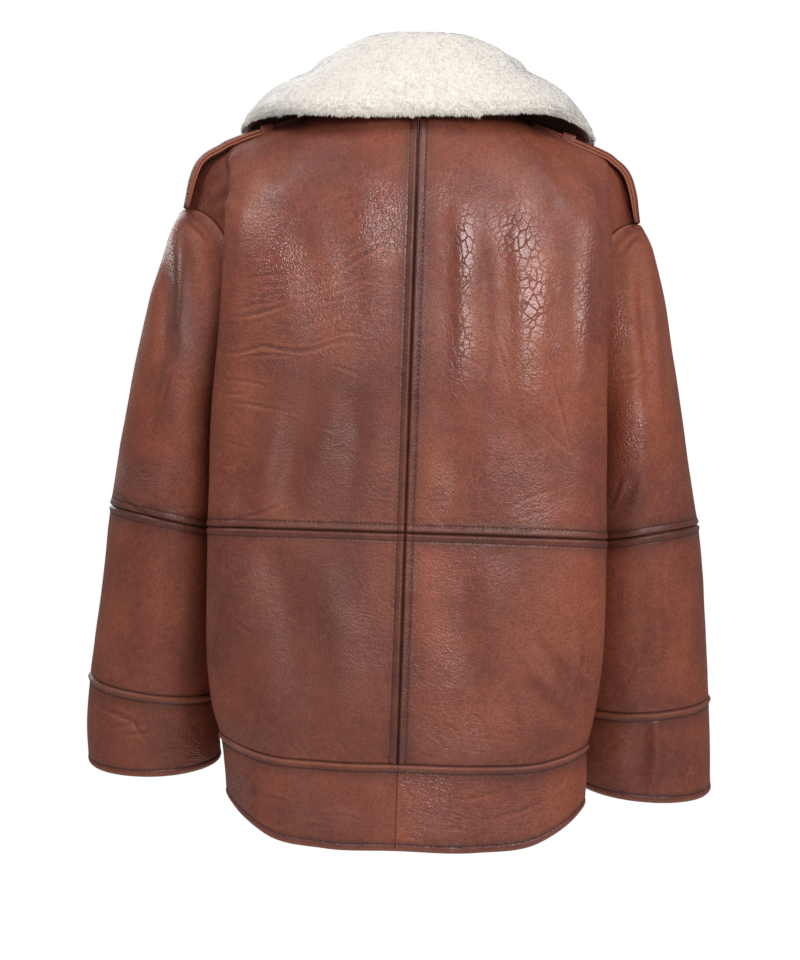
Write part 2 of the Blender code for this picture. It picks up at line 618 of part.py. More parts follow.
def front_line(rows):
    """Centre-front line of the leather's outer face and its normals, in the plane x = 0."""
    sheet = torso_sheet(1, "front", rows, (0.0, 0.2))
    line = sheet[:, 0] * np.array((0, 1, 1))
    tangent = directions(line[:, None], 0, False)[:, 0]
    normal = np.stack((np.zeros(len(line)), -tangent[:, 2], tangent[:, 1]), axis=-1)
    return line, unit(normal)


def add_zip_tapes():
    """The woven tape on each side, sewn behind the front edge."""
    rows = BAND_ROWS + LOWER_ROWS[1:] + UPPER_ROWS[1:]
    for label, side in SIDES.items():
        sheet = torso_sheet(side, "front", rows, FRONT_COLUMNS[:2])
        normals = sheet_normals(sheet, -side)
        across = unit(sheet[:, 1] - sheet[:, 0])
        inner_edge = CHAIN_WIDTH / 2 + SEAM_GAP
        columns = [sheet[:, 0] + across * (inner_edge - ZIP_SLOT / 2 + TAPE_WIDTH * share)
                   for share in (0, 0.2, 1)]
        points = np.stack(columns, axis=1)
        facing = normals[:, :1].repeat(3, axis=1)
        points = points - facing * (LEATHER + 2 * SEAM_GAP)
        points[:, 0, 0] = side * inner_edge
        facing[:, 0, 0] = 0
        points[0] += unit(points[1] - points[0]) * 4
        points[-1] += unit(points[-2] - points[-1]) * 2
        add_wall(f"zip_tape_{label}", points, facing, TAPE_THICKNESS, "tape", shrink=False)


def add_zip_chain():
    """The closed row of teeth as a plain bar up to the slider."""
    line, normals = front_line(CHAIN_ROWS)
    line = line - normals * ZIP_DEPTH
    half_width, half_depth = CHAIN_WIDTH / 2, CHAIN_THICKNESS / 2
    corners = ((-half_width, -half_depth), (half_width, -half_depth),
               (half_width, half_depth), (-half_width, half_depth))
    points = [line[i] + normals[i] * out + np.array((across, 0, 0))
              for i in range(len(CHAIN_ROWS)) for across, out in corners]
    add_solid("zip_chain", points, sweep_faces(len(CHAIN_ROWS), 4), "metal")
    return line[-1], normals[-1]


def add_blocks(name, boxes, finish, place, tilt):
    """A solid from boxes that share faces, given by their low and high corners."""
    boxes = np.array(boxes, float)
    lines = [sorted(set(boxes[:, :, axis].ravel())) for axis in range(3)]
    cells = set()
    for low, high in boxes:
        spans = [[i for i in range(len(line) - 1) if low[axis] <= line[i] < high[axis]]
                 for axis, line in enumerate(lines)]
        cells.update((i, j, k) for i in spans[0] for j in spans[1] for k in spans[2])
    index = {}
    faces = []
    for cell in sorted(cells):
        for axis in range(3):
            for far in (0, 1):
                beside = list(cell)
                beside[axis] += 1 if far else -1
                if tuple(beside) in cells:
                    continue
                u, v = (axis + 1) % 3, (axis + 2) % 3
                ring = []
                for du, dv in ((0, 0), (1, 0), (1, 1), (0, 1)):
                    corner = list(cell)
                    corner[axis] += far
                    corner[u] += du
                    corner[v] += dv
                    ring.append(index.setdefault(tuple(corner), len(index)))
                faces.append(tuple(ring if far else reversed(ring)))
    points = [[lines[axis][corner[axis]] for axis in range(3)] for corner in index]
    add_solid(name, points, faces, finish, place, tilt)


def add_slider_and_pull(top, normal):
    """Slider round the chain's upper end, with a bridge, and the pull tab that hangs in it."""
    tilt = math.atan2(normal[2], -normal[1])
    wide, slim, post = SLIDER_HALF_WIDTH, BRIDGE_HALF_WIDTH, 2.0
    slider = (
        ((-wide, -3.4, -7.0), (wide, -1.7, 6.5)),        # front plate
        ((-wide, 1.7, -7.0), (wide, 3.2, 6.5)),          # back plate
        ((-post, -1.7, 3.3), (post, 1.7, 6.5)),          # post between the rows of teeth
        ((-slim, -7.6, -3.6), (slim, -3.4, -1.8)),       # bridge, lower leg
        ((-slim, -7.6, 3.3), (slim, -3.4, 5.1)),         # bridge, upper leg
        ((-slim, -7.6, -1.8), (slim, -6.1, 3.3)),        # bridge, bar
    )
    along = np.array((0, -normal[2], normal[1])) * -1
    middle = top - along * CHAIN_END
    add_blocks("zip_slider", slider, "metal", middle, -tilt)
    half, thin, window = PULL_HALF_WIDTH, PULL_HALF_THICKNESS, BRIDGE_HALF_WIDTH + 0.45
    pull = (
        ((-half, -thin, -thin), (half, thin, thin)),
        ((-half, -thin, -PULL_EYE), (-window, thin, -thin)),
        ((window, -thin, -PULL_EYE), (half, thin, -thin)),
        ((-half, -thin, -PULL_LENGTH), (half, thin, -PULL_EYE)),
    )
    pivot = middle + normal * -PIVOT[0] + along * PIVOT[1]
    add_blocks("zip_pull", pull, "metal", pivot, -tilt)



for thing in list(bpy.data.objects):
    bpy.data.objects.remove(thing)
add_body()
add_collar()
for label in SIDES:
    add_strap(label)
    add_loop(label)
add_zip_tapes()
chain_top, chain_normal = add_zip_chain()
add_slider_and_pull(chain_top, chain_normal)
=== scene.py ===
"""Leather flying jacket with a shearling collar, filled out as if on a wearer and zipped to the
neck.
"""

import math

import bpy
import numpy as np
from mathutils import Matrix


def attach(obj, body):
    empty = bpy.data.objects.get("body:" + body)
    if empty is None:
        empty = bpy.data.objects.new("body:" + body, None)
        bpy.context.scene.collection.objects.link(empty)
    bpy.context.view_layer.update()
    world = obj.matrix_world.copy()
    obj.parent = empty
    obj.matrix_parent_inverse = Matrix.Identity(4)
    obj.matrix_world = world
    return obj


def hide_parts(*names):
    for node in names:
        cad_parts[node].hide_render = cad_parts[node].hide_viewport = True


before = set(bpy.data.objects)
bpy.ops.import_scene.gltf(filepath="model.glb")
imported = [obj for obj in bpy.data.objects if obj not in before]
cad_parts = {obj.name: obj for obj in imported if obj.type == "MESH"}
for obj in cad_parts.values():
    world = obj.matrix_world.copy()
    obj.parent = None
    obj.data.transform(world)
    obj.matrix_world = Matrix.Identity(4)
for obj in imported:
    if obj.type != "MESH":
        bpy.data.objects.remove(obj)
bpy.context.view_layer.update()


# ==== Back ==================================================================================
# Four panels of burnished sheepskin, 3 mm thick: an upper and a lower half on each side of the
# centre-back seam. The seams are pressed open and topstitched 7.5 mm away on both sides, so the
# allowance lifts the leather beside them and the thread pulls it into small puckers.
MM = 0.001
LEATHER = 3.0
SEAM_GAP = 0.3
STEP = 1.9                    # between the points of a sheet
FINE_STEP = 0.8               # the same beside a seam
SIDES = {"left": 1, "right": -1}

# Torso sections: z at the centre back, at the back's side fold, at the side seam or armhole and at
# the centre front, then the half widths x and depths y of the back and its fold, the side, the
# chest and the front.
TORSO_COLUMNS = ("z_cb", "z_fold", "z_side", "z_cf", "back", "fold_left", "fold_right", "fold_y",
                 "side_x", "side_y", "chest_x", "chest_y", "front")
TORSO = {
    "hem":       (-684, -638, -630, -622, 113, 164, 183, 78, 154, 0, 165, -74, -112),
    "band":      (-642, -610, -602, -595, 118, 167, 183, 82, 155, 0, 168, -78, -116),
    "band_seam": (-600, -578, -572, -566, 121, 172, 183, 86, 156, 0, 172, -82, -119),
    "blouse":    (-575, -557, -551, -546, 129, 179, 187, 92, 160, 0, 179, -87, -126),
    "hip":       (-520, -510, -508, -505, 131, 187, 193, 95, 163, 0, 185, -90, -129),
    "lower":     (-450, -448, -448, -447, 129, 190, 195, 95, 164, 0, 187, -91, -128),
    "waist":     (-380, -381, -381, -380, 127, 190, 194, 94, 163, 0, 186, -90, -126),
    "rib":       (-320, -321, -322, -320, 127, 190, 192, 94, 163, 0, 185, -90, -126),
    "underarm":  (-262, -266, -272, -262, 128, 190, 191, 95, 163, 0, 184, -90, -127),
    "scye_low":  (-240, -246, -258, -241, 129, 189, 190, 95, 163, 26, 183, -90, -127),
    "scye":      (-205, -212, -226, -206, 129, 187, 190, 95, 165, 46, 182, -90, -127),
    "yoke":      (-140, -148, -164, -140, 126, 184, 191, 94, 168, 60, 180, -89, -124),
}
# each face from its centre to its fold: share of the way across, share of the change in depth
CENTRE_TO_FOLD = ((0.00, 0.00), (0.42, 0.00), (0.76, 0.15), (0.94, 0.55), (1.00, 1.00))
HEM_CORNER = 5                # how sharply the hem turns up at the side fold
FOLD_RETURN = (7.0, 16.0)     # past the fold: how far in, and how far toward the side seam
SIDE = 7                      # station of the side seam and armhole
NECK = 2                      # station of the neck point
HEM, BAND_SEAM, WAIST, UNDERARM, YOKE, TOP = -684, -600, -380, -262, -140, -40
NECK_POINT = (88, 6, 33)
NECK_BACK_Y = 84
NECK_BACK_CROWN = 3
THROAT = (-116, -62)          # y and z
ZIP_SLOT = 12.0
SHOULDER = (                  # station, x on the left, x on the right, y, z
    (2, 88, 88, 6, 33),
    (3, 150, 150, 2, 10),
    (4, 180, 180, 0, -1),
    (5, 193, 193, 0, -8),
    (6, 215, 209, 0, -24),
    (7, 229, 222, 0, -66),
)
ROUNDNESS = {"back": 2.0, "front": 1.6}    # of the turn above the yoke, 2 for a circle


def unit(vectors):
    """Vectors of length 1."""
    return vectors / np.linalg.norm(vectors, axis=-1, keepdims=True)


def spline(points, knots, at):
    """Smooth curve through points (first axis) that stand at the knots, read at other places."""
    points = np.asarray(points, float)
    knots = np.asarray(knots, float)
    at = np.asarray(at, float)
    spread_out = (-1,) + (1,) * (points.ndim - 1)
    step = np.diff(knots).reshape(spread_out)
    slope = np.diff(points, axis=0) / step
    tangent = np.concatenate((slope[:1], slope))
    share = step[1:] / (step[:-1] + step[1:])
    tangent[1:-1] = slope[:-1] * share + slope[1:] * (1 - share)
    cell = np.clip(np.searchsorted(knots, at, side="right") - 1, 0, len(knots) - 2)
    width = step[cell]
    u = ((at - knots[cell]).reshape(spread_out)) / width
    start = points[cell] * (1 + 2 * u) * (1 - u) ** 2 + tangent[cell] * width * u * (1 - u) ** 2
    end = points[cell + 1] * (3 - 2 * u) * u ** 2 + tangent[cell + 1] * width * (u - 1) * u ** 2
    return start + end


def chord_knots(points):
    """Mean distances along the first axis, as knots that keep a spline through it even."""
    gaps = np.linalg.norm(np.diff(points, axis=0), axis=-1)
    gaps = gaps.reshape(len(gaps), -1).mean(axis=1)
    return np.concatenate(([0.0], np.cumsum(gaps)))


def torso_stations(side, face):
    """Key points of every torso section, from the centre (station 0) to the side (station 7)."""
    column = dict(zip(TORSO_COLUMNS, np.array(list(TORSO.values()), float).T))
    if face == "back":
        half = column["fold_left"] if side > 0 else column["fold_right"]
        centre_x, centre_y, fold_y = 0.0, column["back"], column["fold_y"]
        z_centre, z_fold, side_y, inward = column["z_cb"], column["z_fold"], column["side_y"], -1
    else:
        half = column["chest_x"]
        centre_x, centre_y, fold_y = ZIP_SLOT / 2, column["front"], column["chest_y"]
        z_centre, side_y, inward = column["z_cf"], -column["side_y"], 1
        z_fold = (column["z_side"] + column["z_cf"]) / 2
    stations = []
    for across, lost in CENTRE_TO_FOLD:
        x = centre_x + (half - centre_x) * across
        y = centre_y + (fold_y - centre_y) * lost
        z = z_centre + (z_fold - z_centre) * across ** HEM_CORNER
        stations.append(np.stack((x, y, z), axis=-1))
    turned = (half - FOLD_RETURN[0], fold_y + inward * FOLD_RETURN[1],
              z_fold * 0.7 + column["z_side"] * 0.3)
    under = np.stack(turned, axis=-1)
    edge = np.stack((column["side_x"], side_y, column["z_side"]), axis=-1)
    tuck = edge + (under - edge) * np.array((0.3, 0.5, 0.5))
    stations += [under, tuck, edge]
    return np.stack(stations, axis=1)


def top_edge(side, face, stations):
    """Neckline up to the neck point, then the shoulder seam to its tip, drawn for x above 0."""
    stations = np.asarray(stations, float)
    turn = np.clip(stations / NECK, 0, 1) * math.pi / 2
    neck_x, neck_y, neck_z = NECK_POINT
    if face == "back":
        x = neck_x * np.sin(turn)
        y = neck_y + (NECK_BACK_Y - neck_y) * np.cos(turn)
        z = neck_z + NECK_BACK_CROWN * np.sin(2 * turn)
    else:
        x = ZIP_SLOT / 2 + (neck_x - ZIP_SLOT / 2) * np.sin(turn)
        y = neck_y + (THROAT[0] - neck_y) * np.cos(turn)
        z = neck_z + (THROAT[1] - neck_z) * np.cos(turn)
    neckline_points = np.stack((x, y, z), axis=-1)
    table = np.array(SHOULDER, float)
    places = table[:, (1 if side > 0 else 2, 3, 4)]
    seam = spline(places, table[:, 0], np.clip(stations, NECK, SIDE))
    return np.where(stations[:, None] < NECK, neckline_points, seam)


def torso_sheet(side, face, rows, columns):
    """Points of the torso's outer surface, rows by height and columns by station."""
    keys = torso_stations(side, face)
    levels = np.array([row[0] for row in TORSO.values()], float)
    rows = np.asarray(rows, float)
    low = np.minimum(rows, YOKE)
    points = spline(keys, levels, low)
    corner = int(np.argmin(abs(levels - UNDERARM)))
    seam = spline(keys[:corner + 1, SIDE], levels[:corner + 1], np.minimum(low, UNDERARM))
    hole = spline(keys[corner:, SIDE], levels[corner:], np.maximum(low, UNDERARM))
    points[:, SIDE] = np.where(low[:, None] <= UNDERARM, seam, hole)
    knots = chord_knots(keys.transpose(1, 0, 2))
    places = np.interp(columns, np.arange(SIDE + 1), knots)
    sheet = spline(points.transpose(1, 0, 2), knots, places).transpose(1, 0, 2)
    turn = (np.clip((rows - YOKE) / (TOP - YOKE), 0, 1) * math.pi / 2)[:, None]
    power = 2 / ROUNDNESS[face]
    inward = 1 - np.maximum(np.cos(turn), 0) ** power
    upward = np.sin(turn) ** power
    way = top_edge(side, face, columns)[None] - sheet
    sheet += way * np.stack((inward, inward, upward), axis=-1)
    sheet[..., 0] *= side
    return sheet


def run_along(points, axis):
    """Distance of each point from a sheet's first edge, along its rows or its columns."""
    gaps = np.linalg.norm(np.diff(points, axis=axis), axis=-1)
    start = np.zeros_like(np.take(gaps, [0], axis))
    return np.concatenate((start, np.cumsum(gaps, axis=axis)), axis=axis)


def spread(places, run, step, fine_start=0.0, fine_end=0.0):
    """Places that stand step apart along a run, and FINE_STEP apart beside its seams."""
    at, marks = 0.0, [0.0]
    while at < run[-1] - FINE_STEP / 2:
        beside_seam = at < fine_start or run[-1] - at < fine_end
        at += FINE_STEP if beside_seam else step
        marks.append(at)
    marks[-1] = run[-1]
    return np.interp(marks, run, places)


def torso_rows(face, low, high, step, fine_low=0.0, fine_high=0.0):
    """Heights of a torso panel's rows between two levels."""
    levels = np.linspace(low, high, 160)
    run = run_along(torso_sheet(1, face, levels, (0.0, 2.0, 4.0)), 0).mean(axis=1)
    return spread(levels, run, step, fine_low, fine_high)


def torso_columns(face, level, step, fine_low=0.0, fine_high=0.0):
    """Stations of a torso panel's columns, spaced out on the row at one level."""
    stations = np.linspace(0, SIDE, 160)
    run = run_along(torso_sheet(1, face, (level,), stations), 1)[0]
    return spread(stations, run, step, fine_low, fine_high)


def directions(points, axis, wrap):
    """Unit tangents along one axis of a grid, from both neighbours where there are two."""
    if wrap:
        ahead = unit(np.roll(points, -1, axis) - points)
        return unit(ahead + np.roll(ahead, 1, axis))
    ahead = unit(np.diff(points, axis=axis))
    first = np.take(ahead, [0], axis)
    last = np.take(ahead, [-1], axis)
    return unit(np.concatenate((first, ahead), axis) + np.concatenate((ahead, last), axis))


def sheet_normals(points, flip, wrap=False):
    """Unit normals on the garment's outer side."""
    across = np.cross(directions(points, 0, False), directions(points, 1, wrap))
    return unit(across) * flip


def unevenness(points, size, seed):
    """Smooth lumps from -1 to 1, about size millimetres wide, the same on every run."""
    count = 32
    lattice = np.random.default_rng(seed).uniform(-1, 1, (count, count, count))
    place = points / size
    base = np.floor(place).astype(int)
    part = place - base
    part = part * part * (3 - 2 * part)
    total = np.zeros(points.shape[:-1])
    for corner in np.ndindex(2, 2, 2):
        share = np.prod(np.where(corner, part, 1 - part), axis=-1)
        i, j, k = np.moveaxis((base + corner) % count, -1, 0)
        total += share * lattice[i, j, k]
    return total


def seam_relief(distance, profile):
    """Height, burnish, and wear with painted shade beside a seam, from a profile's rows."""
    table = np.array(profile, float).T
    return [np.interp(distance, table[0], column) for column in table[1:]]


# Beside a crease the leather rises in two lips: their distance and width in half widths of the
# crease, and their heights as shares of its depth.
LIP_PLACE, LIP_SPREAD = 1.9, 1.2
LIP_ABOVE, LIP_BELOW = 0.65, 0.3


def crease_relief(points, shown, table):
    """Height and tone of creases, lips rubbed lighter and grooves painted darker as shade; a row is
    depth, half width, then its places as x, z, x, z.
    """
    height = np.zeros(points.shape[:-1])
    worn = np.zeros(points.shape[:-1])
    seen = points[..., (0, 2)]
    for depth, width, *line in table:
        line = np.array(line, float).reshape(-1, 2)
        path = spline(line, np.arange(len(line)), np.linspace(0, len(line) - 1, 6 * len(line)))
        low, high = path.min(axis=0) - 4 * width, path.max(axis=0) + 4 * width
        close = np.all((seen > low) & (seen < high), axis=-1) & (shown > 0)
        if not close.any():
            continue
        spots = seen[close][:, None]
        way = np.diff(path, axis=0)
        share = np.clip(((spots - path[:-1]) * way).sum(-1) / (way ** 2).sum(-1), 0, 1)
        offset = spots - (path[:-1] + share[..., None] * way)
        away = np.linalg.norm(offset, axis=-1)
        nearest = away.argmin(axis=1)
        row = np.arange(len(nearest))
        along = (nearest + share[row, nearest]) / len(way)
        turn = way[nearest, 0] * offset[row, nearest, 1] - way[nearest, 1] * offset[row, nearest, 0]
        off = away[row, nearest] * np.sign(turn) / width
        ends = np.sin(math.pi * np.clip(along, 0.03, 0.97)) ** 0.7
        shape = (LIP_ABOVE * np.exp(-((off - LIP_PLACE) / LIP_SPREAD) ** 2)
                 + LIP_BELOW * np.exp(-((off + LIP_PLACE) / LIP_SPREAD) ** 2))
        shape -= np.exp(-off ** 2)
        height[close] += depth * ends * shape * shown[close]
        # by this weight the lips are rubbed lighter and the groove is painted darker as shade
        rubbed = min(1, abs(depth) * 1.6) if width < 4 else 0.12
        worn[close] += rubbed * ends * shape * shown[close]
    return height, worn


def patch_weight(points, shown, table):
    """Weight of a finish in soft oval patches; a row is (x, z, half width, half height, weight)."""
    weight = np.zeros(points.shape[:-1])
    # the ovals' edges are broken up at two sizes
    broken = 1 + 0.45 * unevenness(points, 20, 8) + 0.35 * unevenness(points, 8, 9)
    for x, z, half_x, half_z, strength in table:
        away = ((points[..., 0] - x) / half_x) ** 2 + ((points[..., 2] - z) / half_z) ** 2
        weight = np.maximum(weight, strength * np.exp(-(away * broken) ** 1.3))
    return weight * shown


def linear(hex_colour):
    """An sRGB colour such as "8a4e3e" as linear RGBA."""
    parts = [int(hex_colour[i:i + 2], 16) / 255 for i in (0, 2, 4)]
    parts = [c / 12.92 if c <= 0.04045 else ((c + 0.055) / 1.055) ** 2.4 for c in parts]
    return (*parts, 1.0)


def per_metre(size_mm):
    """Scale of a pattern whose features are size_mm wide."""
    return 1000.0 / size_mm


def add_node(tree, kind, settings=None, links=None):
    """Adds a shader node, sets its fields and sockets, and links its inputs to other nodes'
    outputs, the first output where only the node is given."""
    node = tree.nodes.new("ShaderNode" + kind)
    for name, value in (settings or {}).items():
        if isinstance(name, str) and hasattr(node, name):
            setattr(node, name, value)
        else:
            node.inputs[name].default_value = value
    for name, source in (links or {}).items():
        tree.links.new(getattr(source, "outputs", (source,))[0], node.inputs[name])
    return node


def new_material(name):
    """An empty node material with its output and Principled shader."""
    made = bpy.data.materials.new(name)
    made.use_nodes = True
    return made, made.node_tree, made.node_tree.nodes["Principled BSDF"]


def burnished_sheepskin():
    """Vegetable-tanned sheepskin, burnished by hand and waxed: reddish brown, rubbed dark beside
    the seams, with a fine grain and a net of small cracks that show tan where the leather is dull;
    between the glossy cells where it shines the cracks are painted dark, as shade. Raised parts are
    rubbed lighter, and seam grooves, stitch lines, crease grooves and pucker dips are painted
    darker as shade."""
    made, tree, shader = new_material("burnished_sheepskin")
    place = add_node(tree, "TexCoord").outputs["Object"]
    zone = {name: add_node(tree, "Attribute", {"attribute_name": name}).outputs["Fac"]
            for name in ("burnish", "worn", "cells", "pebble", "wrinkle", "raw")}
    slow = add_node(tree, "TexNoise", {"Scale": per_metre(45), "Detail": 1.0}, {"Vector": place})
    quick = add_node(tree, "TexNoise", {"Scale": per_metre(6), "Detail": 3.0}, {"Vector": place})
    swung = add_node(tree, "VectorMath", {"operation": "MULTIPLY_ADD", 1: (0.02, 0.02, 0.02)},
                     {0: slow.outputs["Color"], 2: place}).outputs["Vector"]
    bent = add_node(tree, "VectorMath", {"operation": "MULTIPLY_ADD", 1: (0.0016, 0.0016, 0.0016)},
                    {0: quick.outputs["Color"], 2: swung}).outputs["Vector"]
    tall = add_node(tree, "VectorMath", {"operation": "MULTIPLY", 1: (1.0, 1.0, 0.7)},
                    {0: bent}).outputs["Vector"]
    wide = add_node(tree, "VectorMath", {"operation": "MULTIPLY", 1: (0.34, 0.34, 1.0)},
                    {0: bent}).outputs["Vector"]

    # Patterns: grain 2.2 mm wide (coarser than the real 1 mm, which wouldn't show), pebbles of
    # 3.2 mm, cells of 7.5 by 11 mm, and wrinkles 4 mm apart that run across.
    grain = add_node(tree, "TexVoronoi", {"feature": "F1", "Scale": per_metre(2.2)},
                     {"Vector": bent})
    pebbles = add_node(tree, "TexVoronoi", {"feature": "DISTANCE_TO_EDGE", "Scale": per_metre(3.2)},
                       {"Vector": bent})
    cells = add_node(tree, "TexVoronoi", {"feature": "DISTANCE_TO_EDGE", "Scale": per_metre(7.5)},
                     {"Vector": tall})
    wrinkles = add_node(tree, "TexVoronoi", {"feature": "DISTANCE_TO_EDGE", "Scale": per_metre(4)},
                        {"Vector": wide})
    fade = add_node(tree, "TexNoise", {"Scale": per_metre(24), "Detail": 4.0, "Roughness": 0.6},
                    {"Vector": place})
    some = add_node(tree, "MapRange", {1: 0.4, 2: 0.68}, {0: fade.outputs["Fac"]})
    rest = add_node(tree, "MapRange", {1: 0.62, 2: 0.36}, {0: fade.outputs["Fac"]})
    cell_line = add_node(tree, "MapRange", {1: 0.0, 2: 0.1, 3: 1.0, 4: 0.0,
                                            "interpolation_type": "SMOOTHSTEP"},
                         {0: cells.outputs["Distance"]})
    wrinkle_line = add_node(tree, "MapRange", {1: 0.0, 2: 0.11, 3: 1.0, 4: 0.0,
                                               "interpolation_type": "SMOOTHSTEP"},
                            {0: wrinkles.outputs["Distance"]})
    cell_share = add_node(tree, "Math", {"operation": "MULTIPLY_ADD", 1: 0.5},
                          {0: some, 2: zone["cells"]})
    wrinkle_share = add_node(tree, "Math", {"operation": "MULTIPLY_ADD", 1: 0.3},
                             {0: rest, 2: zone["wrinkle"]})
    cracks = add_node(tree, "Math", {"operation": "MULTIPLY"}, {0: cell_line, 1: cell_share})
    folds = add_node(tree, "Math", {"operation": "MULTIPLY"}, {0: wrinkle_line, 1: wrinkle_share})
    faint = add_node(tree, "Math", {"operation": "MULTIPLY", 1: 0.4}, {0: folds})
    net = add_node(tree, "Math", {"operation": "MAXIMUM"}, {0: cracks, 1: faint})
    dome = add_node(tree, "MapRange", {1: 0.0, 2: 0.32, "interpolation_type": "SMOOTHSTEP"},
                    {0: cells.outputs["Distance"]})
    lifted = add_node(tree, "Math", {"operation": "MULTIPLY"}, {0: dome, 1: zone["cells"]})
    bead = add_node(tree, "MapRange", {1: 0.0, 2: 0.35, "interpolation_type": "SMOOTHSTEP"},
                    {0: pebbles.outputs["Distance"]})
    beaded = add_node(tree, "Math", {"operation": "MULTIPLY"}, {0: bead, 1: zone["pebble"]})

    # Colour: cloudy dye, then grain, cracks (painted dark as shade in the glossy cells), rubbed
    # wear, painted shade in the hollows, and burnish over it.
    clouds = add_node(tree, "TexNoise", {"Scale": per_metre(95), "Detail": 3.0, "Roughness": 0.5},
                      {"Vector": tall})
    cloud = add_node(tree, "MapRange", {1: 0.36, 2: 0.64, "interpolation_type": "SMOOTHSTEP"},
                     {0: clouds.outputs["Fac"]})
    blots = add_node(tree, "TexNoise", {"Scale": per_metre(9), "Detail": 5.0, "Roughness": 0.7},
                     {"Vector": bent})
    blot = add_node(tree, "MapRange", {1: 0.4, 2: 0.66, 3: 0.0, 4: 0.3}, {0: blots.outputs["Fac"]})
    dye = add_node(tree, "Mix", {"data_type": "RGBA", 6: linear("6a3327"), 7: linear("86432e")},
                   {0: cloud})
    dyed = add_node(tree, "Mix", {"data_type": "RGBA", 7: linear("9e563e")},
                    {0: blot, 6: dye.outputs[2]})
    pit = add_node(tree, "MapRange", {1: 0.3, 2: 0.75, 3: 0.0, 4: 0.42},
                   {0: grain.outputs["Distance"]})
    grained = add_node(tree, "Mix", {"data_type": "RGBA", 7: linear("542a22")},
                       {0: pit, 6: dyed.outputs[2]})
    # cracks: tan in the dull leather; in the glossy cells painted dark, as shade where the
    # highlight breaks
    crack_tone_and_shade = add_node(
        tree, "Mix", {"data_type": "RGBA", 6: linear("a05f46"), 7: linear("4a2620")},
        {0: zone["cells"]})
    crack_here = add_node(tree, "Math", {"operation": "MULTIPLY", 1: 0.72}, {0: net})
    cracked = add_node(tree, "Mix", {"data_type": "RGBA"},
                       {0: crack_here, 6: grained.outputs[2], 7: crack_tone_and_shade.outputs[2]})
    rub = add_node(tree, "MapRange", {1: 0.0, 2: 1.0, 3: 0.0, 4: 0.7}, {0: zone["worn"]})
    rubbed = add_node(tree, "Mix", {"data_type": "RGBA", 7: linear("b06b4d")},
                      {0: rub, 6: cracked.outputs[2]})
    # darker below 0: painted shade in grooves, stitch lines and dips, plus random darker wear
    dark_wear_and_shade = add_node(tree, "MapRange", {1: 0.0, 2: -1.0, 3: 0.0, 4: 0.65}, {0: zone["worn"]})
    sunken = add_node(tree, "Mix", {"data_type": "RGBA", 7: linear("42221b")},
                      {0: dark_wear_and_shade, 6: rubbed.outputs[2]})
    rub_dark = add_node(tree, "Math", {"operation": "MULTIPLY", 1: 0.8}, {0: zone["burnish"]})
    burnt = add_node(tree, "Mix", {"data_type": "RGBA", 7: linear("38211e")},
                     {0: rub_dark, 6: sunken.outputs[2]})
    edged = add_node(tree, "Mix", {"data_type": "RGBA", 7: linear("93503a")},
                     {0: zone["raw"], 6: burnt.outputs[2]})
    tree.links.new(edged.outputs[2], shader.inputs["Base Color"])

    # Relief in millimetres of height, then gloss: waxed high spots, dull pits and cracks.
    relief = add_node(tree, "Math", {"operation": "MULTIPLY", 1: 0.5}, {0: fade.outputs["Fac"]})
    for height, source in ((-0.16, grain.outputs["Distance"]), (0.12, lifted), (0.3, beaded),
                           (-0.14, cracks), (-0.26, folds)):
        relief = add_node(tree, "Math", {"operation": "MULTIPLY_ADD", 1: height},
                          {0: source, 2: relief})
    bump = add_node(tree, "Bump", {"Strength": 1.0, "Distance": MM}, {"Height": relief})
    tree.links.new(bump.outputs["Normal"], shader.inputs["Normal"])
    polish = add_node(tree, "Math", {"operation": "MAXIMUM"}, {0: zone["cells"], 1: zone["pebble"]})
    polished = add_node(tree, "Math", {"operation": "MAXIMUM"}, {0: polish, 1: zone["burnish"]})
    gloss = add_node(tree, "MapRange", {1: 0.0, 2: 1.0, 3: 0.56, 4: 0.3}, {0: polished})
    dulled = add_node(tree, "Math", {"operation": "MULTIPLY_ADD", 1: 0.25}, {0: net, 2: gloss})
    matt = add_node(tree, "Math", {"operation": "MULTIPLY_ADD", 1: 0.2},
                    {0: grain.outputs["Distance"], 2: dulled})
    rough = add_node(tree, "Math", {"operation": "SUBTRACT", 1: 0.06}, {0: matt})
    tree.links.new(rough.outputs[0], shader.inputs["Roughness"])
    shader.inputs["IOR"].default_value = 1.5
    shader.inputs["Specular Tint"].default_value = linear("ffe6e2")
    shader.inputs["Coat Tint"].default_value = linear("fff0ee")
    whole = add_node(tree, "Math", {"operation": "SUBTRACT", 0: 1.0}, {1: net})
    wax = add_node(tree, "Math", {"operation": "MULTIPLY"}, {0: polish, 1: whole})
    tree.links.new(wax.outputs[0], shader.inputs["Coat Weight"])
    tree.links.new(bump.outputs["Normal"], shader.inputs["Coat Normal"])
    shader.inputs["Coat Roughness"].default_value = 0.24
    return made


def suede_side():
    """The flesh side of the skins, left as suede: matt light brown with a short nap."""
    made, tree, shader = new_material("suede_side")
    place = add_node(tree, "TexCoord").outputs["Object"]
    nap = add_node(tree, "TexNoise", {"Scale": per_metre(5), "Detail": 5.0, "Roughness": 0.7},
                   {"Vector": place})
    tone = add_node(tree, "Mix", {"data_type": "RGBA", 6: linear("6e4634"), 7: linear("8a5f47")},
                    {0: nap.outputs["Fac"]})
    tree.links.new(tone.outputs[2], shader.inputs["Base Color"])
    bump = add_node(tree, "Bump", {"Strength": 0.5, "Distance": 0.6 * MM},
                    {"Height": nap.outputs["Fac"]})
    tree.links.new(bump.outputs["Normal"], shader.inputs["Normal"])
    shader.inputs["Roughness"].default_value = 0.92
    shader.inputs["Sheen Weight"].default_value = 0.25
    return made


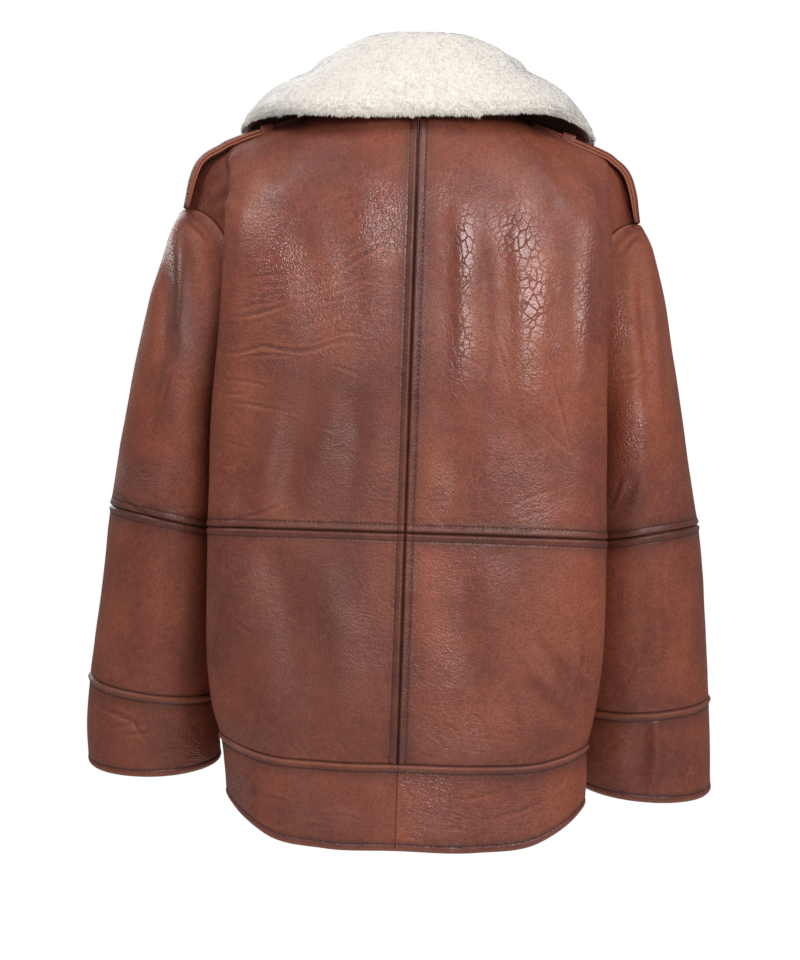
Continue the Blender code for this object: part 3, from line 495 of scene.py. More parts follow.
def add_mesh(name, points, faces, materials, fields=None, kinds=None):
    """A mesh object from points in millimetres, with its fields and each face's material."""
    mesh = bpy.data.meshes.new(name)
    mesh.from_pydata((points * MM).tolist(), [], faces)
    for finish in materials:
        mesh.materials.append(finish)
    if kinds is not None:
        mesh.polygons.foreach_set("material_index", np.asarray(kinds, np.int32))
    for field, values in (fields or {}).items():
        layer = mesh.attributes.new(field, "FLOAT", "POINT")
        layer.data.foreach_set("value", np.asarray(values, np.float32).ravel())
    mesh.shade_smooth()
    thing = bpy.data.objects.new(name, mesh)
    bpy.context.scene.collection.objects.link(thing)
    return thing


def thin(count, wrap):
    """Every third row or column, and the last, for a shell's inner side."""
    kept = list(range(0, count, 3))
    if not wrap and kept[-1] != count - 1:
        kept.append(count - 1)
    return kept


def add_shell(name, outer, inner, materials, fields, wrap=False):
    """A closed cloth shell: a fine outer sheet, a coarser inner one and the rims between them."""
    rows, columns = outer.shape[:2]
    kept_rows, kept_columns = thin(rows, False), thin(columns, wrap)
    back = inner[np.ix_(kept_rows, kept_columns)]
    size = rows * columns
    count = len(kept_columns)
    faces = []
    for i in range(rows - 1):
        low, high = i * columns, (i + 1) * columns
        faces += [(low + j, low + j + 1, high + j + 1, high + j) for j in range(columns - 1)]
        if wrap:
            faces.append((low + columns - 1, low, high, high + columns - 1))
    shown = len(faces)
    for i in range(len(kept_rows) - 1):
        low, high = size + i * count, size + (i + 1) * count
        faces += [(low + j, high + j, high + j + 1, low + j + 1) for j in range(count - 1)]
        if wrap:
            faces.append((low + count - 1, high + count - 1, high, low))
    hidden = len(faces)
    for i, k in ((0, 0), (rows - 1, len(kept_rows) - 1)):
        for m in range(count if wrap else count - 1):
            a = kept_columns[m]
            b = kept_columns[m + 1] if m + 1 < count else columns
            rim = [i * columns + j % columns for j in range(a, b + 1)]
            faces.append(tuple(rim + [size + k * count + (m + 1) % count, size + k * count + m]))
    if not wrap:
        for j, m in ((0, 0), (columns - 1, count - 1)):
            for k in range(len(kept_rows) - 1):
                rim = [i * columns + j for i in range(kept_rows[k], kept_rows[k + 1] + 1)]
                faces.append(tuple(rim + [size + (k + 1) * count + m, size + k * count + m]))
    kinds = [0] * shown + [1] * (hidden - shown) + [0] * (len(faces) - hidden)
    spare = np.zeros(len(kept_rows) * count)
    fields = {field: np.concatenate((values.ravel(), spare)) for field, values in fields.items()}
    points = np.concatenate((outer.reshape(-1, 3), back.reshape(-1, 3)))
    thing = add_mesh(name, points, faces, materials, fields, kinds)
    thing.data.set_sharp_from_angle(angle=math.radians(60))
    return thing


def declare_cut(points, wrap):
    ring = np.concatenate((points, points[:, :1]), axis=1) if wrap else points
    width = float(run_along(ring, 1)[:, -1].max())
    length = float(run_along(points, 0)[-1].max())


LUMP_WIDTH, SMALL_LUMP_WIDTH = 38, 15     # of the skin's own unevenness
PUCKER_WIDTH = 5.5                        # of the puckers along a row of stitches
PUCKER_PLACE, PUCKER_REACH = 7, 3.5       # their distance from the seam and half width


def add_panel(name, node, sheet, seams, creases=(), patches=None, wrap=False, shown=None,
              thickness=LEATHER, lumps=0.5):
    """A leather piece: its sheet, raised beside the seams and creased, as a shell that replaces
    the node. Creases and patches lie only where the sheet is shown. The inner side follows the
    deepest folds, so it never comes out through them."""
    points, normals = sheet
    shown = np.ones(points.shape[:2]) if shown is None else shown
    height = (lumps * unevenness(points, LUMP_WIDTH, 3)
              + 0.3 * lumps * unevenness(points, SMALL_LUMP_WIDTH, 4))
    burnish = np.zeros(points.shape[:2])
    # random wear, to which the seams, puckers and creases add rubbed lighter ridges and painted
    # shade
    worn = 0.12 * unevenness(points, 24, 5)
    for distance, profile in seams:
        up, dark, light = seam_relief(distance, profile)
        pucker = unevenness(points, PUCKER_WIDTH, 6)
        pucker = pucker * np.exp(-((distance - PUCKER_PLACE) / PUCKER_REACH) ** 2)
        height += up + 0.22 * pucker
        burnish = np.maximum(burnish, dark * (1 + 0.18 * unevenness(points, 12, 7)))
        # puckers: rubbed lighter on their bumps, painted darker as shade in their dips
        worn += light + 0.25 * pucker
    up, light = crease_relief(points, shown, creases)
    height += up
    worn += light
    fields = {"burnish": np.clip(burnish, 0, 1), "worn": np.clip(worn, -1, 1)}
    for field, table in (patches or {}).items():
        weight = patch_weight(points, shown, table)
        if field == "burnish":
            fields[field] = np.maximum(fields[field], weight)
        else:
            fields[field] = weight
    outer = points + normals * height[..., None]
    inner = points + normals * (np.minimum(height, 0) - thickness)[..., None]
    piece = add_shell(name, outer, inner, (sheepskin, suede), fields, wrap)
    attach(piece, "jacket")
    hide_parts(node)
    declare_cut(points, wrap)
    return outer, normals


sheepskin = burnished_sheepskin()
suede = suede_side()

# Last column: ridges rubbed lighter, groove and stitch line painted darker as shade.
OPEN_SEAM = (                 # distance from the seam, height, burnish, wear and painted shade
    (0.0, -1.1, 1.00, -0.5),
    (0.8, -0.4, 0.95, -0.2),
    (1.6, 0.9, 0.80, 0.00),
    (2.8, 1.25, 0.65, 0.15),
    (4.4, 0.9, 0.75, 0.00),
    (6.2, 0.4, 0.70, 0.00),
    (7.5, -0.2, 0.95, -0.30),
    (9.0, 0.15, 0.60, 0.05),
    (12.0, 0.0, 0.38, 0.00),
    (17.0, 0.0, 0.14, 0.00),
    (24.0, 0.0, 0.00, 0.00),
)
FLAT_SEAM = (
    (0.0, -0.6, 0.8, -0.3),
    (2.0, 0.2, 0.4, 0.1),
    (6.0, 0.0, 0.1, 0.0),
    (9.0, 0.0, 0.0, 0.0),
)
CREASES_UPPER = {             # depth, half width, then places along it as x and z
    "left": (
        (0.68, 1.6, 168, -180, 145, -175, 120, -167),
        (0.81, 1.7, 180, -213, 165, -213, 140, -207, 120, -210, 100, -210, 70, -200, 55, -200),
        (0.74, 1.6, 78, -137, 60, -125, 40, -112, 30, -108, 10, -110),
        (0.5, 1.3, 100, -165, 70, -160, 45, -150, 35, -148),
        (0.43, 1.3, 100, -205, 75, -196, 50, -187),
        (0.37, 1.3, 75, -222, 45, -232),
        (0.31, 1.3, 162, -142, 110, -137),
        (0.25, 1.3, 168, -122, 130, -123),
        (0.43, 1.4, 182, -238, 145, -242, 135, -247),
        (0.43, 1.3, 178, -253, 155, -252),
        (0.5, 1.4, 172, -260, 140, -264, 105, -270),
        (0.31, 1.3, 92, -280, 65, -287),
        (0.37, 1.3, 175, -298, 150, -304),
        (0.31, 1.3, 178, -320, 160, -322),
        (0.5, 1.5, 165, -372, 140, -366, 110, -353),
        (0.25, 1.3, 12, -322, 34, -328),
        (0.25, 1.3, 10, -338, 30, -341),
        (-2.0, 7.0, 172, -13, 190, -26, 210, -46),
        (1.5, 6.0, 178, -50, 190, -56, 206, -66),
        (-1.2, 5.0, 176, -76, 188, -70, 202, -78),
        (0.25, 1.3, 12, -352, 38, -350),
        (-1.8, 12.0, 120, -230, 134, -340, 138, -370),
        (-1.4, 11.0, 65, -235, 90, -330, 95, -365),
        (1.6, 12.0, 52, -240, 50, -300, 58, -370),
        (1.4, 11.0, 108, -270, 112, -320, 116, -360),
        (-1.0, 14.0, 150, -40, 120, -70, 80, -100),
        (0.35, 1.3, 160, -187, 142, -182, 126, -176),
        (0.3, 1.3, 172, -172, 150, -167, 134, -164),
        (0.4, 1.4, 170, -220, 148, -216, 126, -215, 104, -217),
        (0.35, 1.3, 96, -203, 76, -193, 58, -191, 40, -195),
        (0.4, 1.3, 82, -129, 66, -118, 48, -106, 36, -102),
        (0.4, 1.4, 90, -158, 70, -151, 52, -142, 40, -141, 28, -144),
        (0.35, 1.3, 118, -158, 96, -155, 78, -146),
        (0.3, 1.3, 110, -190, 86, -181, 66, -173, 44, -172),
        (0.35, 1.4, 150, -150, 124, -148, 108, -142),
        (0.3, 1.3, 60, -176, 44, -166, 26, -163),
        (-0.6, 12.0, 132, -60, 128, -110, 122, -165, 116, -230),
        (0.5, 11.0, 112, -70, 100, -120, 84, -170),
        (-0.7, 11.0, 60, -45, 46, -90, 40, -130, 38, -190),
        (0.6, 12.0, 84, -60, 70, -110, 52, -160),
    ),
    "right": (
        (-1.6, 8.0, -40, -60, -44, -110, -46, -180, -44, -250),
        (1.2, 7.0, -66, -70, -68, -130, -72, -200, -68, -270),
        (-1.3, 9.0, -92, -60, -98, -110, -104, -180, -108, -260),
        (1.2, 8.0, -134, -110, -136, -170, -138, -240),
        (-1.3, 7.0, -162, -80, -164, -140, -166, -200, -162, -250),
        (-2.2, 12.0, -100, 0, -125, -40, -150, -70),
        (1.8, 10.0, -112, -22, -122, -45, -130, -62),
        (-1.2, 9.0, -150, -10, -160, -32, -166, -50),
        (0.31, 1.3, -75, -182, -88, -215, -98, -250),
        (-1.8, 6.0, -184, -22, -196, -42, -208, -66),
        (1.4, 6.0, -182, -44, -190, -60, -200, -76),
        (0.25, 1.3, -85, -185, -96, -215),
        (0.37, 1.3, -135, -225, -148, -268, -160, -305),
        (0.31, 1.3, -125, -270, -140, -285, -155, -298),
        (0.43, 1.5, -95, -355, -112, -344, -135, -335),
        (0.31, 1.3, -92, -365, -115, -360, -140, -352),
        (0.31, 1.3, -20, -352, -45, -346),
        (-1.2, 14.0, -70, -240, -80, -310, -78, -365),
        (1.2, 12.0, -40, -250, -44, -310, -40, -365),
        (-1.2, 12.0, -165, -240, -168, -310, -160, -370),
    ),
}
CREASES_LOWER = {
    "left": (
        (-2.4, 14.0, 150, -395, 156, -450, 160, -520),
        (2.2, 14.0, 126, -392, 112, -450, 100, -540),
        (-1.8, 15.0, 84, -400, 62, -470, 50, -560),
        (0.28, 1.3, 104, -582, 92, -592),
        (0.28, 1.3, 60, -575, 48, -588),
        (0.35, 1.7, 160, -468, 140, -480),
    ),
    "right": (
        (2.0, 5.0, -128, -478, -150, -500, -165, -530),
        (-2.8, 8.0, -120, -500, -150, -530, -168, -552),
        (1.3, 5.0, -172, -455, -176, -490, -170, -535),
        (0.35, 1.3, -28, -566, -40, -575, -52, -592),
        (0.35, 1.3, -40, -556, -56, -566, -62, -580),
        (0.28, 1.3, -22, -588, -45, -594),
        (0.28, 1.3, -66, -548, -84, -556),
        (0.28, 1.3, -60, -580, -84, -586),
        (0.28, 1.3, -84, -570, -110, -574),
        (-1.8, 15.0, -90, -395, -84, -450, -96, -520),
        (1.0, 14.0, -55, -400, -58, -470, -70, -540),
    ),
}
PATCHES_UPPER = {             # x, z, half width, half height, weight
    "left": {
        "pebble": (
            (128, -125, 30, 42, 0.95), (150, -100, 26, 50, 0.6), (32, -82, 24, 42, 1.0),
            (80, -150, 50, 60, 0.5), (40, -170, 26, 60, 0.3), (60, -300, 70, 60, 0.15),
        ),
        "cells": ((100, -60, 50, 30, 0.15),),
        "wrinkle": (
            (140, -180, 46, 26, 0.75), (110, -210, 70, 20, 0.8), (60, -160, 50, 40, 0.55),
            (50, -120, 36, 24, 0.5), (150, -260, 34, 40, 0.4), (130, -360, 50, 20, 0.35),
            (26, -340, 20, 26, 0.35),
        ),
        "burnish": ((90, -35, 40, 14, 0.25), (30, -350, 22, 16, 0.35), (20, -255, 14, 60, 0.3),
                    (70, -310, 100, 110, 0.62)),
    },
    "right": {
        "cells": (
            (-46, -110, 14, 52, 1.0), (-44, -200, 13, 50, 0.9), (-100, -95, 24, 44, 0.95),
            (-112, -150, 20, 50, 0.9), (-110, -215, 14, 44, 0.6), (-166, -150, 12, 70, 0.8),
            (-30, -55, 16, 26, 0.5), (-80, -60, 60, 34, 0.3), (-80, -200, 90, 90, 0.14),
        ),
        "pebble": (
            (-125, -352, 30, 22, 0.6), (-166, -150, 10, 60, 0.5), (-110, -320, 60, 40, 0.35),
            (-30, -340, 16, 30, 0.4),
        ),
        "wrinkle": ((-120, -350, 50, 20, 0.45), (-35, -350, 20, 16, 0.4)),
        "burnish": ((-32, -348, 18, 14, 0.3), (-145, -110, 8, 56, 0.3), (-176, -110, 8, 60, 0.25)),
    },
}
PATCHES_LOWER = {
    "left": {
        "pebble": ((150, -420, 34, 40, 0.25), (30, -480, 24, 60, 0.25), (90, -520, 40, 50, 0.15)),
        "cells": (),
        "wrinkle": ((80, -580, 60, 14, 0.45), (24, -440, 20, 60, 0.35), (130, -430, 50, 50, 0.4)),
        "burnish": ((130, -396, 40, 12, 0.3), (10, -430, 12, 60, 0.3), (80, -480, 130, 150, 0.5)),
    },
    "right": {
        "pebble": ((-60, -575, 46, 24, 0.8), (-34, -500, 30, 60, 0.45), (-60, -420, 60, 30, 0.35)),
        "cells": ((-60, -565, 44, 26, 0.35), (-40, -500, 40, 60, 0.12)),
        "wrinkle": ((-56, -572, 50, 30, 0.95), (-100, -550, 50, 30, 0.6), (-28, -480, 30, 60, 0.5),
                    (-90, -440, 80, 60, 0.4)),
        "burnish": ((-110, -396, 50, 12, 0.25), (-75, -505, 26, 14, 0.3),
                    (-140, -570, 30, 14, 0.25)),
    },
}

columns_back = torso_columns("back", WAIST, STEP, fine_low=12)
rows_upper = torso_rows("back", WAIST, TOP, STEP, fine_low=12)
rows_lower = torso_rows("back", BAND_SEAM, WAIST, STEP, fine_low=4, fine_high=12)
back_sheets = {}
for label, side in SIDES.items():
    for place, rows, creases, patches in (
            ("upper", rows_upper, CREASES_UPPER, PATCHES_UPPER),
            ("lower", rows_lower, CREASES_LOWER, PATCHES_LOWER)):
        points = torso_sheet(side, "back", rows, columns_back)
        from_centre = run_along(points, 1)
        up_from_low = run_along(points, 0)
        to_high = up_from_low[-1:] - up_from_low
        if place == "upper":
            seams = ((from_centre, OPEN_SEAM), (up_from_low, OPEN_SEAM), (to_high, FLAT_SEAM))
        else:
            seams = ((from_centre, OPEN_SEAM), (to_high, OPEN_SEAM), (up_from_low, FLAT_SEAM))
        normals = sheet_normals(points, side)
        back_sheets[place, label] = add_panel(
            f"back_{place}_{label}_leather", f"back_{place}_{label}", (points, normals), seams,
            creases[label], patches[label]) + (from_centre, up_from_low)


# ==== Fronts ================================================================================
# One plain sheepskin panel each side, from the hem band to the shoulder, cut like the backs. The
# front edges stop 12 mm apart on the zip, turned under and stitched 7 mm in. The photo shows the
# back alone, so the folds here are what such leather takes where it hangs from the chest.
FRONT_STEP = 3.8              # between the points, wider than on the back
# Last column: ridge rubbed lighter, edge and stitch line painted darker as shade.
FRONT_EDGE = (
    (0.0, -0.8, 0.7, -0.2),
    (1.2, 0.5, 0.5, 0.45),
    (4.0, 0.9, 0.5, 0.10),
    (6.0, 0.6, 0.8, 0.00),
    (7.2, 0.0, 0.9, -0.40),
    (8.4, 0.1, 0.6, 0.00),
    (14.0, 0.0, 0.0, 0.00),
)
CREASES_FRONT = {             # depth, half width, then places along it as x and z
    "left": (
        (0.8, 2.4, 172, -200, 150, -204, 128, -196, 112, -182),
        (0.64, 2.1, 176, -226, 150, -232, 134, -228),
        (0.48, 2.0, 174, -255, 148, -262, 118, -258),
        (0.4, 1.9, 170, -290, 140, -296),
        (0.72, 2.2, 168, -352, 140, -344, 104, -330),
        (0.48, 2.0, 70, -120, 96, -134, 120, -140),
        (-1.8, 13.0, 112, -180, 120, -280, 112, -380, 118, -500),
        (1.5, 12.0, 80, -200, 86, -300, 80, -400, 88, -520),
        (-1.4, 14.0, 44, -150, 50, -280, 46, -400, 56, -560),
        (-1.2, 12.0, 150, -300, 154, -400, 150, -520),
        (0.4, 1.9, 30, -552, 52, -560, 66, -556),
    ),
    "right": (
        (0.88, 2.4, -176, -190, -150, -196, -122, -188, -104, -172),
        (0.56, 2.1, -172, -216, -148, -224, -120, -224),
        (0.48, 2.0, -178, -246, -150, -250, -130, -246),
        (0.56, 2.0, -170, -318, -142, -322, -118, -314),
        (0.48, 2.0, -60, -106, -84, -124, -112, -128),
        (-1.6, 13.0, -104, -190, -116, -290, -106, -400, -114, -520),
        (1.6, 12.0, -70, -180, -78, -300, -70, -420, -80, -540),
        (-1.2, 14.0, -38, -160, -42, -290, -38, -420, -48, -560),
        (-1.4, 12.0, -148, -280, -156, -380, -150, -500),
        (0.4, 1.9, -60, -548, -86, -556, -104, -550),
    ),
}
PATCHES_FRONT = {             # x, z, half width, half height, weight
    "left": {
        "pebble": ((120, -150, 30, 50, 0.7), (60, -480, 50, 50, 0.4)),
        "cells": ((60, -150, 16, 50, 0.6), (104, -230, 14, 40, 0.4)),
        "wrinkle": ((140, -200, 40, 24, 0.7), (150, -260, 34, 30, 0.5), (120, -350, 50, 20, 0.5)),
        "burnish": ((90, -560, 60, 12, 0.25),),
    },
    "right": {
        "pebble": ((-70, -470, 46, 60, 0.45), (-150, -160, 20, 40, 0.5)),
        "cells": ((-110, -130, 20, 50, 0.85), (-60, -190, 14, 40, 0.6)),
        "wrinkle": ((-140, -210, 44, 26, 0.7), (-150, -310, 36, 24, 0.5), (-90, -550, 40, 16, 0.4)),
        "burnish": ((-100, -560, 60, 12, 0.25),),
    },
}

columns_front = torso_columns("front", WAIST, FRONT_STEP, fine_low=12)[::-1]
rows_front = torso_rows("front", BAND_SEAM, TOP, FRONT_STEP, fine_low=8)
front_sheets = {}
for label, side in SIDES.items():
    points = torso_sheet(side, "front", rows_front, columns_front)
    from_side = run_along(points, 1)
    from_edge = from_side[:, -1:] - from_side
    up = run_along(points, 0)
    seams = ((from_edge, FRONT_EDGE), (up, FLAT_SEAM), (up[-1:] - up, FLAT_SEAM))
    front_sheets[label] = add_panel(
        f"front_{label}_leather", f"front_{label}", (points, sheet_normals(points, side)), seams,
        CREASES_FRONT[label], PATCHES_FRONT[label]) + (from_edge, up)


# ==== Hem band ==============================================================================
# Two halves of doubled leather, 84 mm deep, joined at the centre back by a plain seam and open at
# the centre front. The top is turned over a cord, so it stands up as a rolled, polished edge with
# a row of stitches under it; the bottom fold is stitched 7 mm up.
BAND_STEP, BAND_ROW_STEP = 3.2, 2.6
# Last column of these profiles: ridges rubbed lighter, grooves and stitch lines painted darker as
# shade.
ROLLED_TOP = (
    (0.0, -0.6, 0.9, -0.5),
    (0.8, 0.9, 0.5, 0.10),
    (2.6, 2.3, 0.25, 0.30),
    (4.6, 1.3, 0.25, 0.10),
    (6.4, 0.4, 0.6, -0.1),
    (8.0, -0.3, 1.0, -0.4),
    (9.4, 0.1, 0.6, 0.0),
    (13.0, 0.0, 0.42, 0.0),
    (20.0, 0.0, 0.2, 0.0),
    (30.0, 0.0, 0.0, 0.0),
)
FOLDED_HEM = (
    (0.0, -1.4, 0.5, 0.1),
    (0.8, -0.3, 0.4, 0.45),
    (2.4, 0.5, 0.35, 0.35),
    (5.4, 0.5, 0.55, 0.0),
    (7.0, -0.4, 0.95, -0.4),
    (8.6, 0.1, 0.6, 0.0),
    (13.0, 0.0, 0.0, 0.0),
)
BUTTED_SEAM = ((0.0, -0.5, 0.35, -0.2), (1.0, 0.1, 0.15, 0.05), (3.0, 0.0, 0.0, 0.0))
CREASES_BAND = (              # depth, half width, then places along it as x and z
    (0.4, 1.5, 60, -662, 90, -660),
    (0.4, 1.5, -8, -650, -40, -660, -75, -655),
    (0.4, 1.5, -5, -668, -34, -672),
    (0.32, 1.5, 28, -655, 54, -648, 76, -650),
    (0.4, 1.5, -6, -622, -18, -632, -14, -648),
    (0.32, 1.5, -24, -616, -34, -628),
    (0.32, 1.5, 100, -640, 124, -632),
    (0.4, 1.7, -90, -648, -118, -640, -142, -630),
    (0.32, 1.7, -60, -630, -96, -624),
    (-0.9, 9.0, 96, -612, 104, -640, 100, -668),
    (0.8, 8.0, -128, -606, -134, -630, -128, -650),
)
PATCHES_BAND = {              # x, z, half width, half height, weight
    "left": {
        "pebble": ((10, -640, 18, 40, 0.5), (150, -622, 12, 26, 1.0), (60, -650, 60, 20, 0.3)),
        "cells": (),
        "wrinkle": ((70, -656, 46, 14, 0.4), (110, -636, 24, 16, 0.3)),
        "burnish": ((136, -632, 3, 7, 0.9), (154, -622, 12, 30, 0.5), (70, -640, 110, 60, 0.22)),
    },
    "right": {
        "pebble": ((-26, -640, 44, 44, 0.9), (-110, -650, 60, 20, 0.45)),
        "cells": ((-30, -640, 34, 30, 0.3),),
        "wrinkle": ((-40, -640, 60, 40, 0.95), (-120, -640, 56, 30, 0.6)),
        "burnish": (),
    },
}
columns_band = torso_columns("back", BAND_SEAM, BAND_STEP, fine_low=6)
columns_band_front = torso_columns("front", BAND_SEAM, BAND_STEP, fine_low=10)[::-1]
rows_band = torso_rows("back", HEM, BAND_SEAM, BAND_ROW_STEP, fine_low=12, fine_high=14)
band_sheets = {}
for label, side in SIDES.items():
    round_back = torso_sheet(side, "back", rows_band, columns_band)
    round_front = torso_sheet(side, "front", rows_band, columns_band_front)
    points = np.concatenate((round_back, round_front[:, 1:]), axis=1)
    across = run_along(points, 1)
    up = run_along(points, 0)
    seams = ((up[-1:] - up, ROLLED_TOP), (up, FOLDED_HEM), (across, BUTTED_SEAM),
             (across[:, -1:] - across, FRONT_EDGE))
    normals = sheet_normals(points, side)
    band_sheets[label] = add_panel(
        f"hem_band_{label}_leather", f"hem_band_{label}", (points, normals), seams, CREASES_BAND,
        PATCHES_BAND[label], shown=np.clip(normals[..., 1] * 3, 0, 1)) + (across, up)


# ==== Sleeves ===============================================================================
# A tube of sheepskin each side in two lengths, sewn together round the elbow and set into the
# armhole, where the sleeve head is eased into a puffed ridge. They hang straight down beside the
# body, creased inside the arm and lightly above the elbow.
SLEEVE_COLUMNS = ("outer_left", "outer_right", "outer_z", "inner_x", "inner_z",
                  "middle_y", "depth", "dip", "bow", "drop_right")
SLEEVE = {
    "cap":       (240, 233, -80, 184, -291, 0, 72, 0, 13, 0),
    "arm":       (253, 247, -122, 184, -300, 0, 78, 0, 5, 0),
    "bicep":     (270, 262, -199, 181, -312, 0, 80, 0, 0, 0),
    "upper":     (285, 278, -290, 178, -343, -3, 78, 0, 0, 0),
    "elbow":     (295, 293, -364, 176, -386, -9, 75, 1, 0, 0),
    "forearm":   (303, 304, -450, 177, -464, -18, 72, 5, 0, 0),
    "cuff_seam": (312, 312, -534, 180, -546, -28, 68, 9, 0, 2),
    "cuff":      (315, 316, -582, 181, -586, -32, 67, 11, 0, 5),
    "cuff_edge": (312, 318, -622, 179, -617, -35, 66, 12, 0, 9),
}
ELBOW, CUFF_SEAM, CUFF_EDGE = 5, 7, 9      # rings, the armhole being ring 0
SLEEVE_STEP, ARMHOLE_STEP = 2.7, 2.8
# Last column: the puffed ridge rubbed lighter, the seam's groove painted darker as shade.
SLEEVE_HEAD = (
    (0.0, -0.9, 1.0, -0.5),
    (0.9, 0.2, 0.7, 0.0),
    (3.4, 1.6, 0.1, 0.7),
    (6.5, 0.9, 0.2, 0.2),
    (11.0, 0.0, 0.1, 0.0),
    (16.0, 0.0, 0.0, 0.0),
)
CREASES_SLEEVE = {            # depth, half width, then places along it as x and z
    "left": (
        (-2.6, 7.0, 236, -92, 230, -120, 226, -160, 226, -200),
        (2.0, 7.0, 250, -120, 244, -160, 240, -210, 246, -250),
        (1.3, 6.0, 222, -96, 214, -120, 212, -170),
        (0.56, 1.9, 226, -80, 212, -92, 202, -104),
        (0.35, 1.6, 232, -238, 238, -264),
        (0.42, 1.6, 284, -350, 266, -364, 244, -374),
        (0.35, 1.6, 230, -366, 200, -361),
        (0.28, 1.6, 206, -428, 197, -440),
        (-1.0, 13.0, 262, -250, 270, -310, 272, -355),
        (0.9, 10.0, 228, -280, 222, -330, 224, -370),
        (-2.0, 12.0, 240, -395, 250, -450, 246, -520),
        (1.0, 12.0, 216, -400, 222, -460, 216, -530),
        (0.56, 2.0, 297, -564, 272, -571, 254, -580),
        (0.42, 1.7, 286, -583, 262, -578),
        (0.42, 1.7, 272, -590, 240, -584),
        (0.35, 1.6, 262, -574, 254, -586, 244, -598),
        (0.28, 1.6, 236, -606, 214, -600),
    ),
    "right": (
        (-2.6, 6.0, -232, -92, -235, -150, -240, -200, -244, -256),
        (1.8, 6.0, -222, -100, -224, -150, -229, -200, -233, -250),
        (0.56, 1.9, -224, -80, -212, -90, -203, -104),
        (0.56, 1.6, -194, -229, -214, -226, -228, -216),
        (0.42, 1.6, -194, -222, -212, -219, -224, -211),
        (0.35, 1.6, -198, -213, -214, -211),
        (0.8, 4.0, -214, -346, -220, -328, -226, -312),
        (0.42, 1.9, -200, -352, -206, -332, -208, -318),
        (-1.2, 9.0, -226, -270, -228, -320, -224, -368),
        (1.2, 10.0, -244, -280, -246, -330, -244, -372),
        (-1.0, 12.0, -264, -240, -272, -310, -270, -360),
        (-1.9, 9.0, -244, -395, -250, -460, -252, -530),
        (1.1, 12.0, -262, -400, -268, -470, -262, -530),
        (-4.0, 7.0, -253, -556, -255, -590, -253, -628),
        (1.4, 8.0, -236, -560, -234, -600, -236, -624),
        (0.28, 1.6, -220, -580, -208, -592),
    ),
}
CREASES_SLEEVE_FRONT = (      # drawn for the left sleeve and mirrored to the right
    (-1.5, 8.0, 238, -100, 236, -160, 242, -240),
    (1.4, 8.0, 222, -110, 220, -180, 226, -250),
    (0.64, 2.1, 196, -300, 214, -296, 236, -304),
    (0.56, 2.0, 196, -322, 220, -316, 246, -322),
    (0.48, 1.8, 198, -346, 226, -342, 256, -350),
    (0.56, 2.0, 200, -402, 226, -398, 250, -404),
    (0.4, 1.8, 204, -424, 232, -420),
    (-1.2, 12.0, 250, -400, 256, -460, 250, -530),
    (0.72, 2.2, 226, -570, 252, -566, 280, -574),
)
PATCHES_SLEEVE = {            # x, z, half width, half height, weight
    "left": {
        "pebble": ((264, -336, 30, 20, 0.8), (200, -600, 14, 28, 1.0), (236, -150, 9, 70, 1.0)),
        "cells": (),
        "wrinkle": ((262, -338, 34, 26, 0.75), (240, -586, 40, 20, 0.5), (220, -360, 26, 12, 0.4)),
        # The first burnish patch darkens the fold's valley as painted shade.
        "burnish": ((226, -155, 13, 75, 0.85), (236, -256, 14, 36, 0.5), (250, -330, 30, 20, 0.3),
                    (206, -480, 12, 90, 0.3), (245, -600, 70, 50, 0.3)),
    },
    "right": {
        "pebble": ((-214, -292, 15, 52, 1.0), (-223, -270, 10, 12, 1.0), (-201, -175, 7, 34, 0.8)),
        "cells": ((-214, -292, 12, 40, 0.2),),
        "wrinkle": ((-211, -222, 18, 12, 1.0), (-214, -300, 14, 44, 0.5),
                    (-230, -590, 24, 20, 0.3)),
        "burnish": ((-222, -335, 12, 28, 0.35), (-250, -545, 40, 14, 0.3),
                    (-250, -600, 70, 50, 0.25)),
    },
}


def sleeve_rings(side):
    """The sleeve's key rings, the armhole first, point for point in line with it."""
    levels = torso_rows("back", UNDERARM, TOP, ARMHOLE_STEP)
    levels[-1] = TOP
    back = torso_sheet(side, "back", levels, (SIDE,))[:, 0]
    front = torso_sheet(side, "front", levels, (SIDE,))[:, 0]
    loop = np.concatenate((back[::-1], front[1:-1]))
    run = np.linalg.norm(np.diff(loop, axis=0, append=loop[:1]), axis=1)
    around = np.concatenate(([0.0], np.cumsum(run)[:-1])) / run.sum() * 2 * math.pi
    rings = [loop]
    for values in SLEEVE.values():
        ring = dict(zip(SLEEVE_COLUMNS, values))
        outer_x = ring["outer_left"] if side > 0 else ring["outer_right"]
        half_x = (outer_x - ring["inner_x"]) / 2
        half_z = (ring["outer_z"] - ring["inner_z"]) / 2
        x = ring["inner_x"] + half_x * (1 + np.cos(around)) - ring["bow"] * np.sin(around) ** 2
        y = ring["middle_y"] + ring["depth"] * np.sin(around)
        z = ring["inner_z"] + half_z * (1 + np.cos(around)) - ring["dip"] * np.sin(around)
        z -= ring["drop_right"] * (side < 0)
        rings.append(np.stack((x * side, y, z), axis=-1))
    return np.stack(rings)


def sleeve_sheet(side, first, last, fine_first, fine_last):
    """Points of the sleeve between two rings."""
    rings = sleeve_rings(side)
    knots = chord_knots(rings)
    run = knots[first:last + 1] - knots[first]
    places = spread(knots[first:last + 1], run, SLEEVE_STEP, fine_first, fine_last)
    return spline(rings, knots, places)


